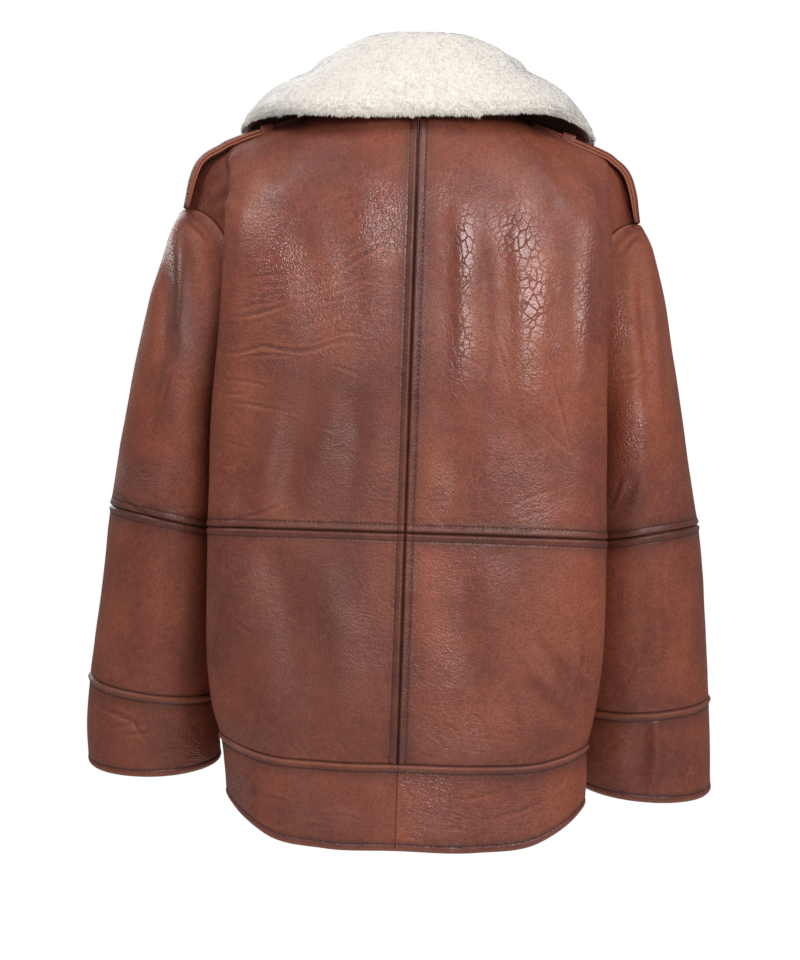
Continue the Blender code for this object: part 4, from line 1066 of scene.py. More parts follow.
tube_sheets = {}
for label, side in SIDES.items():
    for part, first, last, fine, low_seam, high_seam in (
            ("sleeve_upper", 0, ELBOW, (10, 12), OPEN_SEAM, SLEEVE_HEAD),
            ("sleeve_lower", ELBOW, CUFF_SEAM, (12, 6), FLAT_SEAM, OPEN_SEAM)):
        points = sleeve_sheet(side, first, last, *fine)
        normals = sheet_normals(points, side, wrap=True)
        down = run_along(points, 0)
        behind = np.clip(normals[..., 1] * 3 + 0.3, 0, 1)
        ahead = np.clip(-normals[..., 1] * 3, 0, 1)
        folded = crease_relief(points * (side, 1, 1), ahead, CREASES_SLEEVE_FRONT)[0]
        raised = points + normals * folded[..., None]
        tube_sheets[part, label] = add_panel(
            f"{part}_{label}_leather", f"{part}_{label}", (raised, normals),
            ((down, high_seam), (down[-1:] - down, low_seam)), CREASES_SLEEVE[label],
            PATCHES_SLEEVE[label], wrap=True, shown=behind) + (down,)


# ==== Cuffs =================================================================================
# A plain band of doubled leather round each wrist, 80 mm deep. The top is turned over a cord and
# stitched 8 mm down, as on the hem band, and the bottom fold is stitched 7 mm up.
for label, side in SIDES.items():
    points = sleeve_sheet(side, CUFF_SEAM, CUFF_EDGE, 14, 12)
    normals = sheet_normals(points, side, wrap=True)
    down = run_along(points, 0)
    tube_sheets["cuff", label] = add_panel(
        f"cuff_{label}_leather", f"cuff_{label}", (points, normals),
        ((down, ROLLED_TOP), (down[-1:] - down, FOLDED_HEM)), CREASES_SLEEVE[label],
        PATCHES_SLEEVE[label], wrap=True, shown=np.clip(normals[..., 1] * 3 + 0.3, 0, 1)) + (down,)


# ==== Under collar ==========================================================================
# The leather side of the collar, 2 mm thick. It stands up from the neck seam, rolls over and falls
# to the shoulders, with the wool on its outer face; only its raw brown edge shows under the wool.
COLLAR = (                    # place on the neckline, stand, edge x, y and z, belly
    (0.00, 59, 0, 113, 22, 2),
    (0.60, 55, 70, 111, 22, 3),
    (1.20, 44, 122, 84, 26, 5),
    (1.70, 40, 157, 23, 26, 8),
    (2.10, 36, 171, -6, 17, 9),
    (2.40, 36, 169, -29, 8, 9),
    (2.70, 34, 163, -62, -24, 7),
    (3.30, 26, 128, -122, -92, 4),
    (3.88, 17, 84, -134, -140, 1),
)
COLLAR_LEAN = 4.0             # how far it sits lower on the left and higher on the right
COLLAR_LEATHER = 2.0
COLLAR_ROLL = 9.0             # radius of the fold
NECK_GAP = 0.6                # between the panels' neck edge and the collar
COLLAR_END = 3.88
COLLAR_COLUMNS, COLLAR_ROWS = 217, 46
INSET = 0.2                   # of the under collar's leather from the wool's skin


def read_at(at, run, line):
    """What a line holds at distances along its run."""
    return np.stack([np.interp(at, run, axis) for axis in line.T], axis=-1)


def neckline(places):
    """Points on the panels' neck edge: 0 centre back, 2 neck point, 4 throat."""
    corners = np.arange(0, 2 * NECK + 0.1, 0.5)
    back = top_edge(1, "back", np.minimum(corners, NECK))
    front = top_edge(1, "front", np.clip(2 * NECK - corners, 0, NECK))
    edge = np.where(corners[:, None] <= NECK, back, front)
    points = read_at(abs(np.asarray(places, float)), corners, edge)
    points[:, 0] *= np.where(np.asarray(places) < 0, -1, 1)
    return points


def collar_sheet(across, along, overhang):
    """The collar's folded surface: rows up the stand, over the roll and down the fall."""
    table = np.array(COLLAR, float)
    mirrored = table[:0:-1] * np.array((-1, 1, -1, 1, 1, 1))
    table = np.concatenate((mirrored, table))
    sections = spline(table[:, 1:], table[:, 0], along)
    lean = np.clip(along / NECK, -1, 1)
    sections[:, 0] -= COLLAR_LEAN * lean
    sections[:, 3] -= COLLAR_LEAN * np.sin(math.pi * lean)
    columns = []
    for seam, (stand, edge_x, edge_y, edge_z, belly) in zip(neckline(along), sections):
        seam = seam + np.array((0, 0, NECK_GAP))
        edge = np.array((edge_x, edge_y, edge_z))
        outward = unit((edge - seam) * np.array((1, 1, 0)))
        up = np.array((0, 0, 1.0))
        reach = float((edge - seam) @ outward)
        drop = edge[2] - seam[2]
        roll_exit = np.array((2 * COLLAR_ROLL, stand - COLLAR_ROLL))
        fall = np.array((reach, drop)) - roll_exit
        bulge = np.array((-fall[1], fall[0])) / np.linalg.norm(fall) * belly
        straight = stand - COLLAR_ROLL
        profile = np.array([
            (-COLLAR_LEATHER, 0),
            (-COLLAR_LEATHER, straight / 2),
            (0, straight),
            (COLLAR_ROLL, stand),
            roll_exit,
            roll_exit + fall * 0.55 + bulge,
            (reach, drop),
        ])
        knots = chord_knots(profile)
        curve = spline(profile, knots, np.interp(across, np.arange(len(profile)), knots))
        if overhang:
            past = unit(curve[-1:] - curve[-2:-1])
            steps = np.linspace(0, overhang, 4)[1:, None]
            curve = np.concatenate((curve, curve[-1:] + past * steps))
        columns.append(seam + curve[:, :1] * outward + curve[:, 1:] * up)
    return np.stack(columns, axis=1)


collar_along = np.linspace(-COLLAR_END, COLLAR_END, COLLAR_COLUMNS)
collar_across = np.linspace(0, 6, COLLAR_ROWS)
points = collar_sheet(collar_across, collar_along, 0)
normals = sheet_normals(points, -1)
down = run_along(points, 0)
RAW_EDGE = ((0.0, -0.5, 0.6, 0.2), (1.5, 0.0, 0.4, 0.1), (6.0, 0.0, 0.0, 0.0))
add_panel("under_collar_leather", "under_collar", (points - normals * INSET, normals),
          ((down[-1:] - down, RAW_EDGE),), thickness=COLLAR_LEATHER - INSET, lumps=0.0)


# ==== Wool ==================================================================================
# The collar's shearling: cream wool left 10 mm deep on the skin, combed plush and smooth, and
# parting into small locks along its clipped lower edge. A soft base carries tapered strands that
# lie along it, drawn about 1 mm wide because real fibres are far too fine to show.
PILE = 10.0
PILE_OVERHANG = 3.0           # wool beyond the under collar's edge
PILE_BASE = 0.8               # share of the pile that the soft base fills
PILE_ROUNDING = 9.0           # width over which its edges round off
STRANDS = 64000
STRAND_LENGTH = 2.2
STRAND_HALF_WIDTH = (0.35, 0.6)
STRAND_FLATNESS = 5.0         # how far a strand runs along the wool for each step out of it
EDGE_FLATNESS = 1.2           # the same along the lower edge
EDGE_BAND = 5.0               # width of the shaggy band there
EDGE_LENGTH, TUFT_LENGTH = 2.4, 6.5        # added to the strands of the band and of its tufts
EDGE_DENSITY = 2.6            # strands added along the edge, for each one elsewhere
# tilts the shading up, as wool passes light on to its underside
SOFT_TOP = np.array((0.0, 0.0, 0.9))


def combed_wool():
    """Washed cream lambswool: matt, soft and nearly white, painted a little darker at its roots
    as shade deep in the pile.
    """
    made, tree, shader = new_material("combed_wool")
    place = add_node(tree, "TexCoord").outputs["Object"]
    tip = add_node(tree, "Attribute", {"attribute_name": "tip"}).outputs["Fac"]
    locks = add_node(tree, "TexNoise", {"Scale": per_metre(14), "Detail": 4.0, "Roughness": 0.6},
                     {"Vector": place})
    # roots painted darker than tips: shade deep in the pile
    tone = add_node(tree, "Mix", {"data_type": "RGBA", 6: linear("e2d9cd"), 7: linear("eae1d6")},
                    {0: tip})
    spots = add_node(tree, "MapRange", {1: 0.45, 2: 0.75, 3: 0.0, 4: 0.1},
                     {0: locks.outputs["Fac"]})
    mixed = add_node(tree, "Mix", {"data_type": "RGBA", 7: linear("e2d6c6")},
                     {0: spots, 6: tone.outputs[2]})
    tree.links.new(mixed.outputs[2], shader.inputs["Base Color"])
    fibres = add_node(tree, "TexNoise", {"Scale": per_metre(2.5), "Detail": 3.0}, {"Vector": place})
    bump = add_node(tree, "Bump", {"Strength": 0.15, "Distance": MM},
                    {"Height": fibres.outputs["Fac"]})
    tree.links.new(bump.outputs["Normal"], shader.inputs["Normal"])
    shader.inputs["Roughness"].default_value = 0.95
    shader.inputs["Sheen Weight"].default_value = 0.7
    shader.inputs["Specular IOR Level"].default_value = 0.1
    return made


wool = combed_wool()
points = collar_sheet(collar_across, collar_along, PILE_OVERHANG)
normals = sheet_normals(points, -1)
down = run_along(points, 0)
to_edge = down[-1:] - down
along = run_along(points, 1)
to_end = np.minimum(along, along[:, -1:] - along)
rounding = 0.5 + 0.5 * np.clip(down / PILE_ROUNDING, 0, 1)
rounding = rounding * (0.16 + 0.84 * np.clip(to_edge / PILE_ROUNDING, 0, 1) ** 0.5)
rounding *= 0.4 + 0.6 * np.clip(to_end / 10, 0, 1) ** 0.5
depth = PILE * rounding * PILE_BASE
depth += rounding * (0.5 * unevenness(points, 24, 11) + 0.3 * unevenness(points, 8, 12))
outer = points + normals * (SEAM_GAP + depth)[..., None]
inner = points + normals * SEAM_GAP
# the base takes the roots' tone, painted shade deep in the pile, varied at random
base = add_shell("collar_wool_base", outer, inner, (wool, wool),
                 {"tip": 0.7 + 0.15 * unevenness(points, 8, 13)})
facing = np.zeros((len(base.data.vertices), 3))
base.data.vertices.foreach_get("normal", facing.ravel())
facing[:outer.shape[0] * outer.shape[1]] += SOFT_TOP
base.data.normals_split_custom_set_from_vertices(unit(facing).tolist())
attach(base, "jacket")
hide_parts("collar_fur")

rng = np.random.default_rng(21)
rows, columns = outer.shape[:2]
side_a, side_b = np.diff(outer, axis=0)[:, :-1], np.diff(outer, axis=1)[:-1]
share = np.linalg.norm(np.cross(side_a, side_b), axis=-1)
share *= 1 + EDGE_DENSITY * np.clip(1 - to_edge[:-1, :-1] / 6, 0, 1)
cell = rng.choice(share.size, STRANDS, p=share.ravel() / share.sum())
i = cell // (columns - 1) + rng.uniform(0, 0.999, STRANDS)
j = cell % (columns - 1) + rng.uniform(0, 0.999, STRANDS)


def between(grid):
    """Values of a grid at the strands' places."""
    a, b = i.astype(int), j.astype(int)
    u, v = (i - a), (j - b)
    if grid.ndim == 3:
        u, v = u[:, None], v[:, None]
    top = grid[a, b] * (1 - v) + grid[a, b + 1] * v
    low = grid[a + 1, b] * (1 - v) + grid[a + 1, b + 1] * v
    return top * (1 - u) + low * u


roots = between(outer)
fall = unit(between(directions(points, 0, False)))
edge = np.clip(1 - between(to_edge) / EDGE_BAND, 0, 1)
stands = unit(unit(between(sheet_normals(outer, -1))) + fall * (0.9 * edge[:, None] ** 2))
across_fall = np.cross(stands, fall)
full = between(rounding)
lock = np.stack([unevenness(roots, 9, 30 + n) for n in range(2)], axis=-1)
lean = lock * 0.3 + rng.normal(0, 0.12, (STRANDS, 2))
lean[:, 0] += STRAND_FLATNESS - (STRAND_FLATNESS - EDGE_FLATNESS) * edge
way = unit(stands + fall * lean[:, :1] + across_fall * lean[:, 1:])
length = STRAND_LENGTH + 0.4 * unevenness(roots, 6, 50) + rng.uniform(-0.7, 0.7, STRANDS)
length *= 0.6 + 0.4 * full
tuft = np.clip(unevenness(roots, 7, 51) - 0.25, 0, 1)
length += edge * (EDGE_LENGTH + TUFT_LENGTH * tuft)
wide = rng.uniform(*STRAND_HALF_WIDTH, STRANDS)[:, None]
first = unit(np.cross(stands, way))
second = np.cross(way, first)
foot = roots - stands * 0.1
tips = foot + way * (length + 0.4)[:, None]
corners = [foot + wide * (first * a - second * b)
           for a, b in ((-1.0, 0.0), (0.0, 0.6), (1.0, 0.0))] + [tips]
corners = np.stack(corners, axis=1)
faces = [(n + k, n + (k + 1) % 3, n + 3) for n in range(0, 4 * STRANDS, 4) for k in range(3)]
# roots 0.7 and tips 0.9 on the tip scale: the roots' darker tone is painted shade; tint varies it
tint = 0.03 * rng.normal(0, 1, STRANDS)
shade = np.stack((0.7 + tint, 0.7 + tint, 0.7 + tint, 0.9 + tint), axis=1)
strands = add_mesh("collar_wool_strands", corners.reshape(-1, 3), faces, (wool,),
                   {"tip": np.clip(shade, 0, 1)})
facing = unit(np.repeat(stands[:, None], 4, axis=1) + SOFT_TOP)
strands.data.normals_split_custom_set_from_vertices(facing.reshape(-1, 3).tolist())
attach(strands, "jacket")
declare_cut(points, False)


# ==== Shoulder straps =======================================================================
# A strap on each shoulder, two layers of the body's leather glued and sewn back to back, 38 mm
# wide and 6 mm thick, so its cut edges show as two tan lips. It starts under the collar, passes
# through a keeper loop and ends in the sleeve-head seam.
STRAP_WIDTH = 38.0
STRAP_THICKNESS = 6.0
STRAP_START = 2.35            # station on the shoulder seam, under the collar
STRAP_PROBE = 0.05            # in stations, for its direction
STRAP_SEAT = 0.5              # above the shoulder at both ends
STRAP_LIFT = 3.0              # how far its middle bows up off the shoulder
STRAP_CROWN = 5.0             # how far its long edges hang below its middle line
STITCH_LINE = 14.8            # of the stitches from its middle line
STRAP_SECTION = (             # across, up, raw edge, burnish
    (0.0, 0.0, 0.0, 0.0),
    (9.0, 0.0, 0.0, 0.0),
    (17.4, 0.0, 0.0, 0.3),
    (18.5, 0.3, 0.6, 0.1),
    (19.0, 1.0, 1.0, 0.0),
    (19.0, 1.9, 1.0, 0.0),
    (18.5, 2.6, 0.8, 0.3),
    (17.3, 3.0, 0.0, 1.0),
    (18.5, 3.4, 0.8, 0.3),
    (19.0, 4.1, 1.0, 0.0),
    (19.0, 5.0, 1.0, 0.0),
    (18.5, 5.7, 0.6, 0.1),
    (17.4, 6.0, 0.0, 0.4),
    (15.6, 6.0, 0.0, 0.3),
    (STITCH_LINE, 5.7, 0.0, 0.8),
    (14.0, 5.9, 0.0, 0.3),
    (7.0, 6.0, 0.0, 0.0),
    (0.0, 6.0, 0.0, 0.0),
)


def strap_path(side, places):
    """Middle line under a shoulder strap, its normals and tangents, on the shoulder's ridge."""
    stations = STRAP_START + (SIDE - STRAP_START) * np.asarray(places, float)
    ridge = top_edge(side, "back", stations)
    ahead = top_edge(side, "back", np.minimum(stations + STRAP_PROBE, SIDE))
    behind = top_edge(side, "back", stations - STRAP_PROBE)
    tangent = unit((ahead - behind) * np.array((1, 0, 1)))
    normal = np.stack((-tangent[:, 2], np.zeros(len(stations)), tangent[:, 0]), axis=-1)
    lift = STRAP_SEAT + STRAP_LIFT * np.sin(math.pi * np.asarray(places, float))
    ridge = ridge + normal * lift[:, None]
    for vectors in (ridge, normal, tangent):
        vectors[:, 0] *= side
    return ridge, normal, tangent


def strap_crown(place):
    """How far the strap's long edges hang below its middle line, less under the collar."""
    return STRAP_CROWN * np.minimum(1, 0.3 + 2 * np.asarray(place, float))


def swept(stations, around):
    """Faces of a closed section swept through stations, with a cap at each end."""
    faces = [(i * around + j, i * around + (j + 1) % around,
              (i + 1) * around + (j + 1) % around, (i + 1) * around + j)
             for i in range(stations - 1) for j in range(around)]
    faces.append(tuple(reversed(range(around))))
    faces.append(tuple((stations - 1) * around + j for j in range(around)))
    return faces


def turn_outward(thing):
    """Face a closed mesh's sides outward."""
    bpy.context.view_layer.objects.active = thing
    thing.select_set(True)
    bpy.ops.object.mode_set(mode="EDIT")
    bpy.ops.mesh.select_all(action="SELECT")
    bpy.ops.mesh.normals_make_consistent(inside=False)
    bpy.ops.object.mode_set(mode="OBJECT")
    thing.select_set(False)


section = np.array(STRAP_SECTION + tuple((-a, b, c, d) for a, b, c, d in STRAP_SECTION[-2:0:-1]))
strap_tops = {}
for label, side in SIDES.items():
    places = np.linspace(0, 1, 64)
    line, normals, _ = strap_path(side, places)
    drop = np.outer(strap_crown(places), (section[:, 0] / (STRAP_WIDTH / 2)) ** 2)
    wave = 0.25 * unevenness(line, 14, 61)[:, None] * (section[:, 1] > 3)
    wander = 0.25 * unevenness(line, 9, 62)[:, None] * np.sign(section[:, 0])
    # pressed thinner past the loop, and thinner still where the sleeve-head seam grips it
    thinning = (1 - 0.14 * np.clip((places - 0.2) / 0.2, 0, 1)
                - 0.4 * np.clip((places - 0.8) / 0.2, 0, 1) ** 2)[:, None]
    height = section[:, 1] * thinning - drop + wave * thinning
    points = (line[:, None] + normals[:, None] * height[..., None]
              + np.stack((0 * wander, section[:, 0] + wander, 0 * wander), axis=-1))
    ones = np.ones((len(places), 1))
    grain = unevenness(points, 5, 63)
    fields = {"raw": ones * section[:, 2], "burnish": ones * section[:, 3],
              "worn": np.clip(0.35 * grain * section[:, 2] + 0.15 * grain, -1, 1)}
    strap = add_mesh(f"shoulder_strap_{label}", points.reshape(-1, 3),
                     swept(len(places), len(section)), (sheepskin,), fields)
    turn_outward(strap)
    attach(strap, "jacket")
    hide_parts(f"epaulette_{label}")
    length = float(run_along(line, 0)[-1]) * MM
    top = int(np.argmax(section[:, 0] == STITCH_LINE))
    strap_tops[label] = (points[:, (top, len(section) - top)], normals)


# ==== Keeper loops ==========================================================================
# A band of single leather, 13 mm wide, folded over each strap near the collar with its feet sewn
# to the shoulder. Its cut edges are tan, like the strap's.
LOOP_WIDTH = 13.0
LOOP_LEATHER = 2.0
LOOP_PLACE = 0.13             # share of the strap's length
LOOP_CLEARANCE = 0.8
LOOP_FEET = (4.5, 1.4)        # how far its front and back feet reach below the ridge
# across the band, in half widths: how far the face sinks, and how raw the edge is
LOOP_SPANS = (-1.0, -0.97, -0.88, -0.6, -0.3, 0.0, 0.3, 0.6, 0.88, 0.97, 1.0)
LOOP_SUNKEN = (0.9, 0.45, 0.1, 0.0, 0.0, 0.0, 0.0, 0.0, 0.1, 0.45, 0.9)
LOOP_RAW = (1.0, 1.0, 0.6, 0.0, 0.0, 0.0, 0.0, 0.0, 0.6, 1.0, 1.0)
for label, side in SIDES.items():
    line, normal, tangent = (vectors[0] for vectors in strap_path(side, (LOOP_PLACE,)))
    lift = STRAP_SEAT + STRAP_LIFT * math.sin(math.pi * LOOP_PLACE)
    outer = STRAP_WIDTH / 2 + LOOP_CLEARANCE + LOOP_LEATHER
    over = STRAP_THICKNESS + LOOP_CLEARANCE + LOOP_LEATHER
    front_foot, back_foot = (-lift - reach for reach in LOOP_FEET)
    low = float(strap_crown(LOOP_PLACE))
    path = np.array((
        (-outer, front_foot), (-outer, over - low - 5), (-outer, over - low - 2.2),
        (0.7 - outer, over - low - 0.6), (2.4 - outer, over - low + 0.1),
        (-outer / 2, over - low / 4), (0, over), (outer / 2, over - low / 4),
        (outer - 2.4, over - low + 0.1), (outer - 0.7, over - low - 0.6),
        (outer, over - low - 2.2), (outer, over - low - 5), (outer, back_foot),
    ))
    knots = chord_knots(path)
    path = spline(path, knots, np.linspace(0, knots[-1], 56))
    ahead = unit(np.gradient(path, axis=0))
    away = np.stack((-ahead[:, 1], ahead[:, 0]), axis=-1)
    spans = np.array(LOOP_SPANS) * LOOP_WIDTH / 2
    sunken = np.array(LOOP_SUNKEN)
    edge = np.array(LOOP_RAW)
    sheets = []
    for deep in (sunken[None], LOOP_LEATHER + 0 * sunken[None]):
        flat = path[:, None] - away[:, None] * (deep + np.zeros((len(path), 1)))[..., None]
        sheets.append(line + tangent * spans[None, :, None] + normal * flat[..., 1:]
                      + np.array((0, 1.0, 0)) * flat[..., :1])
    ones = np.ones((len(path), 1))
    loop = add_shell(f"strap_loop_{label}", *sheets, (sheepskin, suede),
                     {"raw": ones * edge, "burnish": 0.15 * ones * (1 - edge),
                      "worn": 0.3 * ones * edge})
    turn_outward(loop)
    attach(loop, "jacket")
    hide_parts(f"epaulette_loop_{label}")


# ==== Front zip =============================================================================
# A metal zip closes the front: two woven tapes sewn behind the leather's edges, a chain of brass
# teeth, and a slider at the throat with a pull tab that swings on its bridge.
TAPE_WIDTH = 12.0
TAPE_THICKNESS = 1.0
CHAIN_WIDTH = 5.2
ZIP_DEPTH = LEATHER + 2 * SEAM_GAP + TAPE_THICKNESS / 2
ZIP_BOTTOM, ZIP_TOP = -680, -68
# heights that the chain's middle line passes through, for its top end
CHAIN_ROWS = (ZIP_BOTTOM, -640, -600, -575, -540, -490, -430, WAIST, -320, UNDERARM, -205, YOKE,
              -105, ZIP_TOP)
CHAIN_END = 3.0               # from the chain's top down to the slider's middle
TOOTH_PITCH = 2.6


def woven_tape():
    """Polyester zip tape: dark brown, matt, with a fine herringbone weave."""
    made, tree, shader = new_material("woven_tape")
    place = add_node(tree, "TexCoord").outputs["Object"]
    ribs = add_node(tree, "TexWave", {"wave_type": "BANDS", "bands_direction": "DIAGONAL",
                                      "Scale": per_metre(1.6) / 6.28, "Distortion": 1.5},
                    {"Vector": place})
    tone = add_node(tree, "Mix", {"data_type": "RGBA", 6: linear("2a1a14"), 7: linear("4a3227")},
                    {0: ribs.outputs["Fac"]})
    tree.links.new(tone.outputs[2], shader.inputs["Base Color"])
    bump = add_node(tree, "Bump", {"Strength": 0.7, "Distance": 0.3 * MM},
                    {"Height": ribs.outputs["Fac"]})
    tree.links.new(bump.outputs["Normal"], shader.inputs["Normal"])
    shader.inputs["Roughness"].default_value = 0.85
    return made


def aged_brass():
    """Cast brass, tumbled and antiqued: dull gold on the high spots, brown in the hollows."""
    made, tree, shader = new_material("aged_brass")
    place = add_node(tree, "TexCoord").outputs["Object"]
    film = add_node(tree, "TexNoise", {"Scale": per_metre(3), "Detail": 4.0}, {"Vector": place})
    worn = add_node(tree, "NewGeometry").outputs["Pointiness"]
    high = add_node(tree, "MapRange", {1: 0.47, 2: 0.56}, {0: worn})
    tone = add_node(tree, "Mix", {"data_type": "RGBA", 6: linear("6b5230"), 7: linear("b8955a")},
                    {0: film.outputs["Fac"]})
    rubbed = add_node(tree, "Mix", {"data_type": "RGBA", 7: linear("d2b478")},
                      {0: high, 6: tone.outputs[2]})
    tree.links.new(rubbed.outputs[2], shader.inputs["Base Color"])
    rough = add_node(tree, "MapRange", {1: 0.0, 2: 1.0, 3: 0.28, 4: 0.5}, {0: film.outputs["Fac"]})
    tree.links.new(rough.outputs[0], shader.inputs["Roughness"])
    shader.inputs["Metallic"].default_value = 1.0
    return made


def front_line(rows):
    """Centre-front line of the leather's outer face and its normals, in the plane x = 0."""
    sheet = torso_sheet(1, "front", rows, (0.0, 0.2))
    line = sheet[:, 0] * np.array((0, 1, 1))
    tangent = directions(line[:, None], 0, False)[:, 0]
    normal = np.stack((np.zeros(len(line)), -tangent[:, 2], tangent[:, 1]), axis=-1)
    return line, unit(normal)


tape_weave = woven_tape()
brass = aged_brass()
rows = torso_rows("front", HEM, TOP, 4.0)
for label, side in SIDES.items():
    sheet = torso_sheet(side, "front", rows, (0.0, 0.5))
    facing = sheet_normals(sheet, -side)[:, :1]
    across = unit(sheet[:, 1] - sheet[:, 0])
    inner_edge = CHAIN_WIDTH / 2 + SEAM_GAP
    shares = np.array((0, 0.04, 0.1, 0.2, 0.5, 0.9, 0.96, 1.0))
    columns = [sheet[:, 0] + across * (inner_edge - ZIP_SLOT / 2 + TAPE_WIDTH * share)
               for share in shares]
    points = np.stack(columns, axis=1) - facing * (LEATHER + 2 * SEAM_GAP)
    points[:, 0, 0] = side * inner_edge
    points[0] += unit(points[1] - points[0]) * 4
    points[-1] += unit(points[-2] - points[-1]) * 2
    rolled = np.array((0.3, 0.05, 0.0, 0.25, 0.25, 0.25, 0.1, 0.4))
    facing = facing.repeat(len(shares), axis=1)
    tape = add_shell(f"zip_tape_{label}_woven", points - facing * rolled[None, :, None],
                     points - facing * TAPE_THICKNESS, (tape_weave, tape_weave), {})
    turn_outward(tape)
    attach(tape, "jacket")
    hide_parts(f"zip_tape_{label}")
    long = float(run_along(points[:, 3], 0)[-1]) * MM

levels = np.linspace(ZIP_BOTTOM, ZIP_TOP, 400)
line, normals = front_line(levels)
line = line - normals * ZIP_DEPTH
run = run_along(line, 0)
TOOTH = (                     # across from the chain's middle, half height, half depth
    (-1.1, 0.45, 0.85),
    (-0.6, 0.85, 1.15),
    (0.6, 0.9, 1.3),
    (2.3, 0.8, 1.3),
    (2.6, 0.5, 1.0),
)
TOOTH_SIDES = 8
turns = (np.arange(TOOTH_SIDES) + 0.5) * 2 * math.pi / TOOTH_SIDES
teeth, faces = [], []
for n in range(int(run[-1] / TOOTH_PITCH * 2)):
    at = 1.0 + n * TOOTH_PITCH / 2
    side = 1 if n % 2 else -1
    spot = read_at(at, run, line)
    normal = unit(read_at(at, run, normals))
    upward = np.array((0, normal[2], -normal[1]))
    start = len(teeth)
    for across, tall, deep in TOOTH:
        for turn in turns:
            teeth.append(spot + np.array((side * across, 0, 0))
                         + upward * tall * np.clip(1.3 * math.cos(turn), -1, 1)
                         + normal * deep * np.clip(1.3 * math.sin(turn), -1, 1))
    faces += [tuple(start + k for k in face) for face in swept(len(TOOTH), TOOTH_SIDES)]
chain = add_mesh("zip_teeth", np.array(teeth), faces, (brass,))
turn_outward(chain)
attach(chain, "jacket")
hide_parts("zip_chain")

top_line, top_normals = front_line(CHAIN_ROWS)
top_line = top_line - top_normals * ZIP_DEPTH
normal = top_normals[-1]
upward = np.array((0, normal[2], -normal[1]))
slider_middle = top_line[-1] - upward * CHAIN_END


def laid_on_slider(local):
    """Points from the slider's own axes: across, out of the front, and up the chain."""
    local = np.asarray(local, float)
    return (slider_middle + local[:, :1] * np.array((1.0, 0, 0)) + local[:, 1:2] * normal
            + local[:, 2:] * upward)


def plate(outline, low, high, soft):
    """A plate with rounded edges from its outline (across, up), between two distances out."""
    outline = np.asarray(outline, float)
    middle = outline.mean(axis=0)
    rings = []
    for out, inset in ((low, soft), (low + soft, 0.0), (high - soft, 0.0), (high, soft)):
        away = outline - middle
        ring = middle + away * (1 - inset / np.linalg.norm(away, axis=1, keepdims=True))
        rings.append(np.stack((ring[:, 0], np.full(len(ring), out), ring[:, 1]), axis=-1))
    return np.concatenate(rings), swept(len(rings), len(outline))


def squared(values, power):
    """Sines or cosines drawn toward 1, which makes an oval squarer."""
    return np.sign(values) * abs(values) ** power


BRIDGE_HALF_WIDTH, BRIDGE_HALF_THICKNESS, BRIDGE_SIDES = 1.15, 0.62, 10
turns = np.linspace(0, 2 * math.pi, 33)[:-1]
shield = np.stack((squared(np.cos(turns), 0.55) * (4.4 + 0.5 * np.sin(turns)),
                   -0.25 + 6.6 * squared(np.sin(turns), 0.7)), axis=-1)
parts = [plate(shield, 1.75, 3.3, 0.5), plate(shield, -3.15, -1.75, 0.4)]
post = np.array(((-1.8, 3.4), (1.8, 3.4), (1.4, 6.2), (-1.4, 6.2)))
parts.append(plate(post, -1.9, 1.9, 0.1))
arch = np.array(((3.0, -2.9), (5.4, -2.7), (6.9, -1.6), (7.25, 0.4), (6.9, 2.6), (5.4, 3.9),
                 (3.0, 4.2)))
knots = chord_knots(arch)
arch = spline(arch, knots, np.linspace(0, knots[-1], 22))
ahead = unit(np.gradient(arch, axis=0))
beside = np.stack((-ahead[:, 1], ahead[:, 0]), axis=-1)
bridge = [(BRIDGE_HALF_WIDTH * math.cos(turn),
           *(spot + off * BRIDGE_HALF_THICKNESS * math.sin(turn)))
          for spot, off in zip(arch, beside)
          for turn in np.arange(BRIDGE_SIDES) * 2 * math.pi / BRIDGE_SIDES]
parts.append((np.array(bridge), swept(len(arch), BRIDGE_SIDES)))
points, faces = [], []
for local, sides in parts:
    start = sum(len(group) for group in points)
    points.append(laid_on_slider(local))
    faces += [tuple(start + k for k in face) for face in sides]
slider = add_mesh("zip_slider_cast", np.concatenate(points), faces, (brass,))
turn_outward(slider)
slider.data.set_sharp_from_angle(angle=math.radians(50))
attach(slider, "jacket")
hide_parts("zip_slider")

PULL_LENGTH = 26.0
PULL_HALF_WIDTH = 3.3
PULL_HALF_THICKNESS = 0.6
PULL_EYE = 5.2                # how far its eye reaches below the pivot
PULL_ROUNDING = 0.35
PIVOT = (4.75, -0.7)          # out of the slider's front, and up
eye = np.array((0.0, (-PULL_EYE - PULL_HALF_THICKNESS) / 2))
turns = np.linspace(0, 2 * math.pi, 49)[:-1]
eye_ring = np.stack((1.68 * squared(np.cos(turns), 0.6),
                     eye[1] + 2.2 * squared(np.sin(turns), 0.6)), axis=-1)
rim = []
for turn in turns:
    ray = np.array((math.cos(turn), math.sin(turn)))
    low, high = 0.0, 40.0
    for _ in range(30):
        mid = (low + high) / 2
        x, z = eye + ray * mid
        neck = PULL_HALF_WIDTH * (0.84 + 0.16 * math.tanh((-z - 7) / 2))
        end_low = (max(0.0, -z - (PULL_LENGTH - 4)) / 4) ** 2.4
        end_high = (max(0.0, z + 2.4) / 3.0) ** 2.4
        inside = (abs(x) / neck) ** 2.6 + end_low + end_high < 1
        low, high = (mid, high) if inside else (low, mid)
    rim.append(eye + ray * low)
rim = np.array(rim)
eye_outer = eye_ring + (eye_ring - eye) * 0.1
rim_inner = rim - unit(rim - eye) * PULL_ROUNDING
half_section = (               # from the eye out to the rim: ring, how far below the face
    (eye_ring, 0.15), (eye_outer, 0.0), (rim_inner, 0.0), (rim, PULL_ROUNDING))
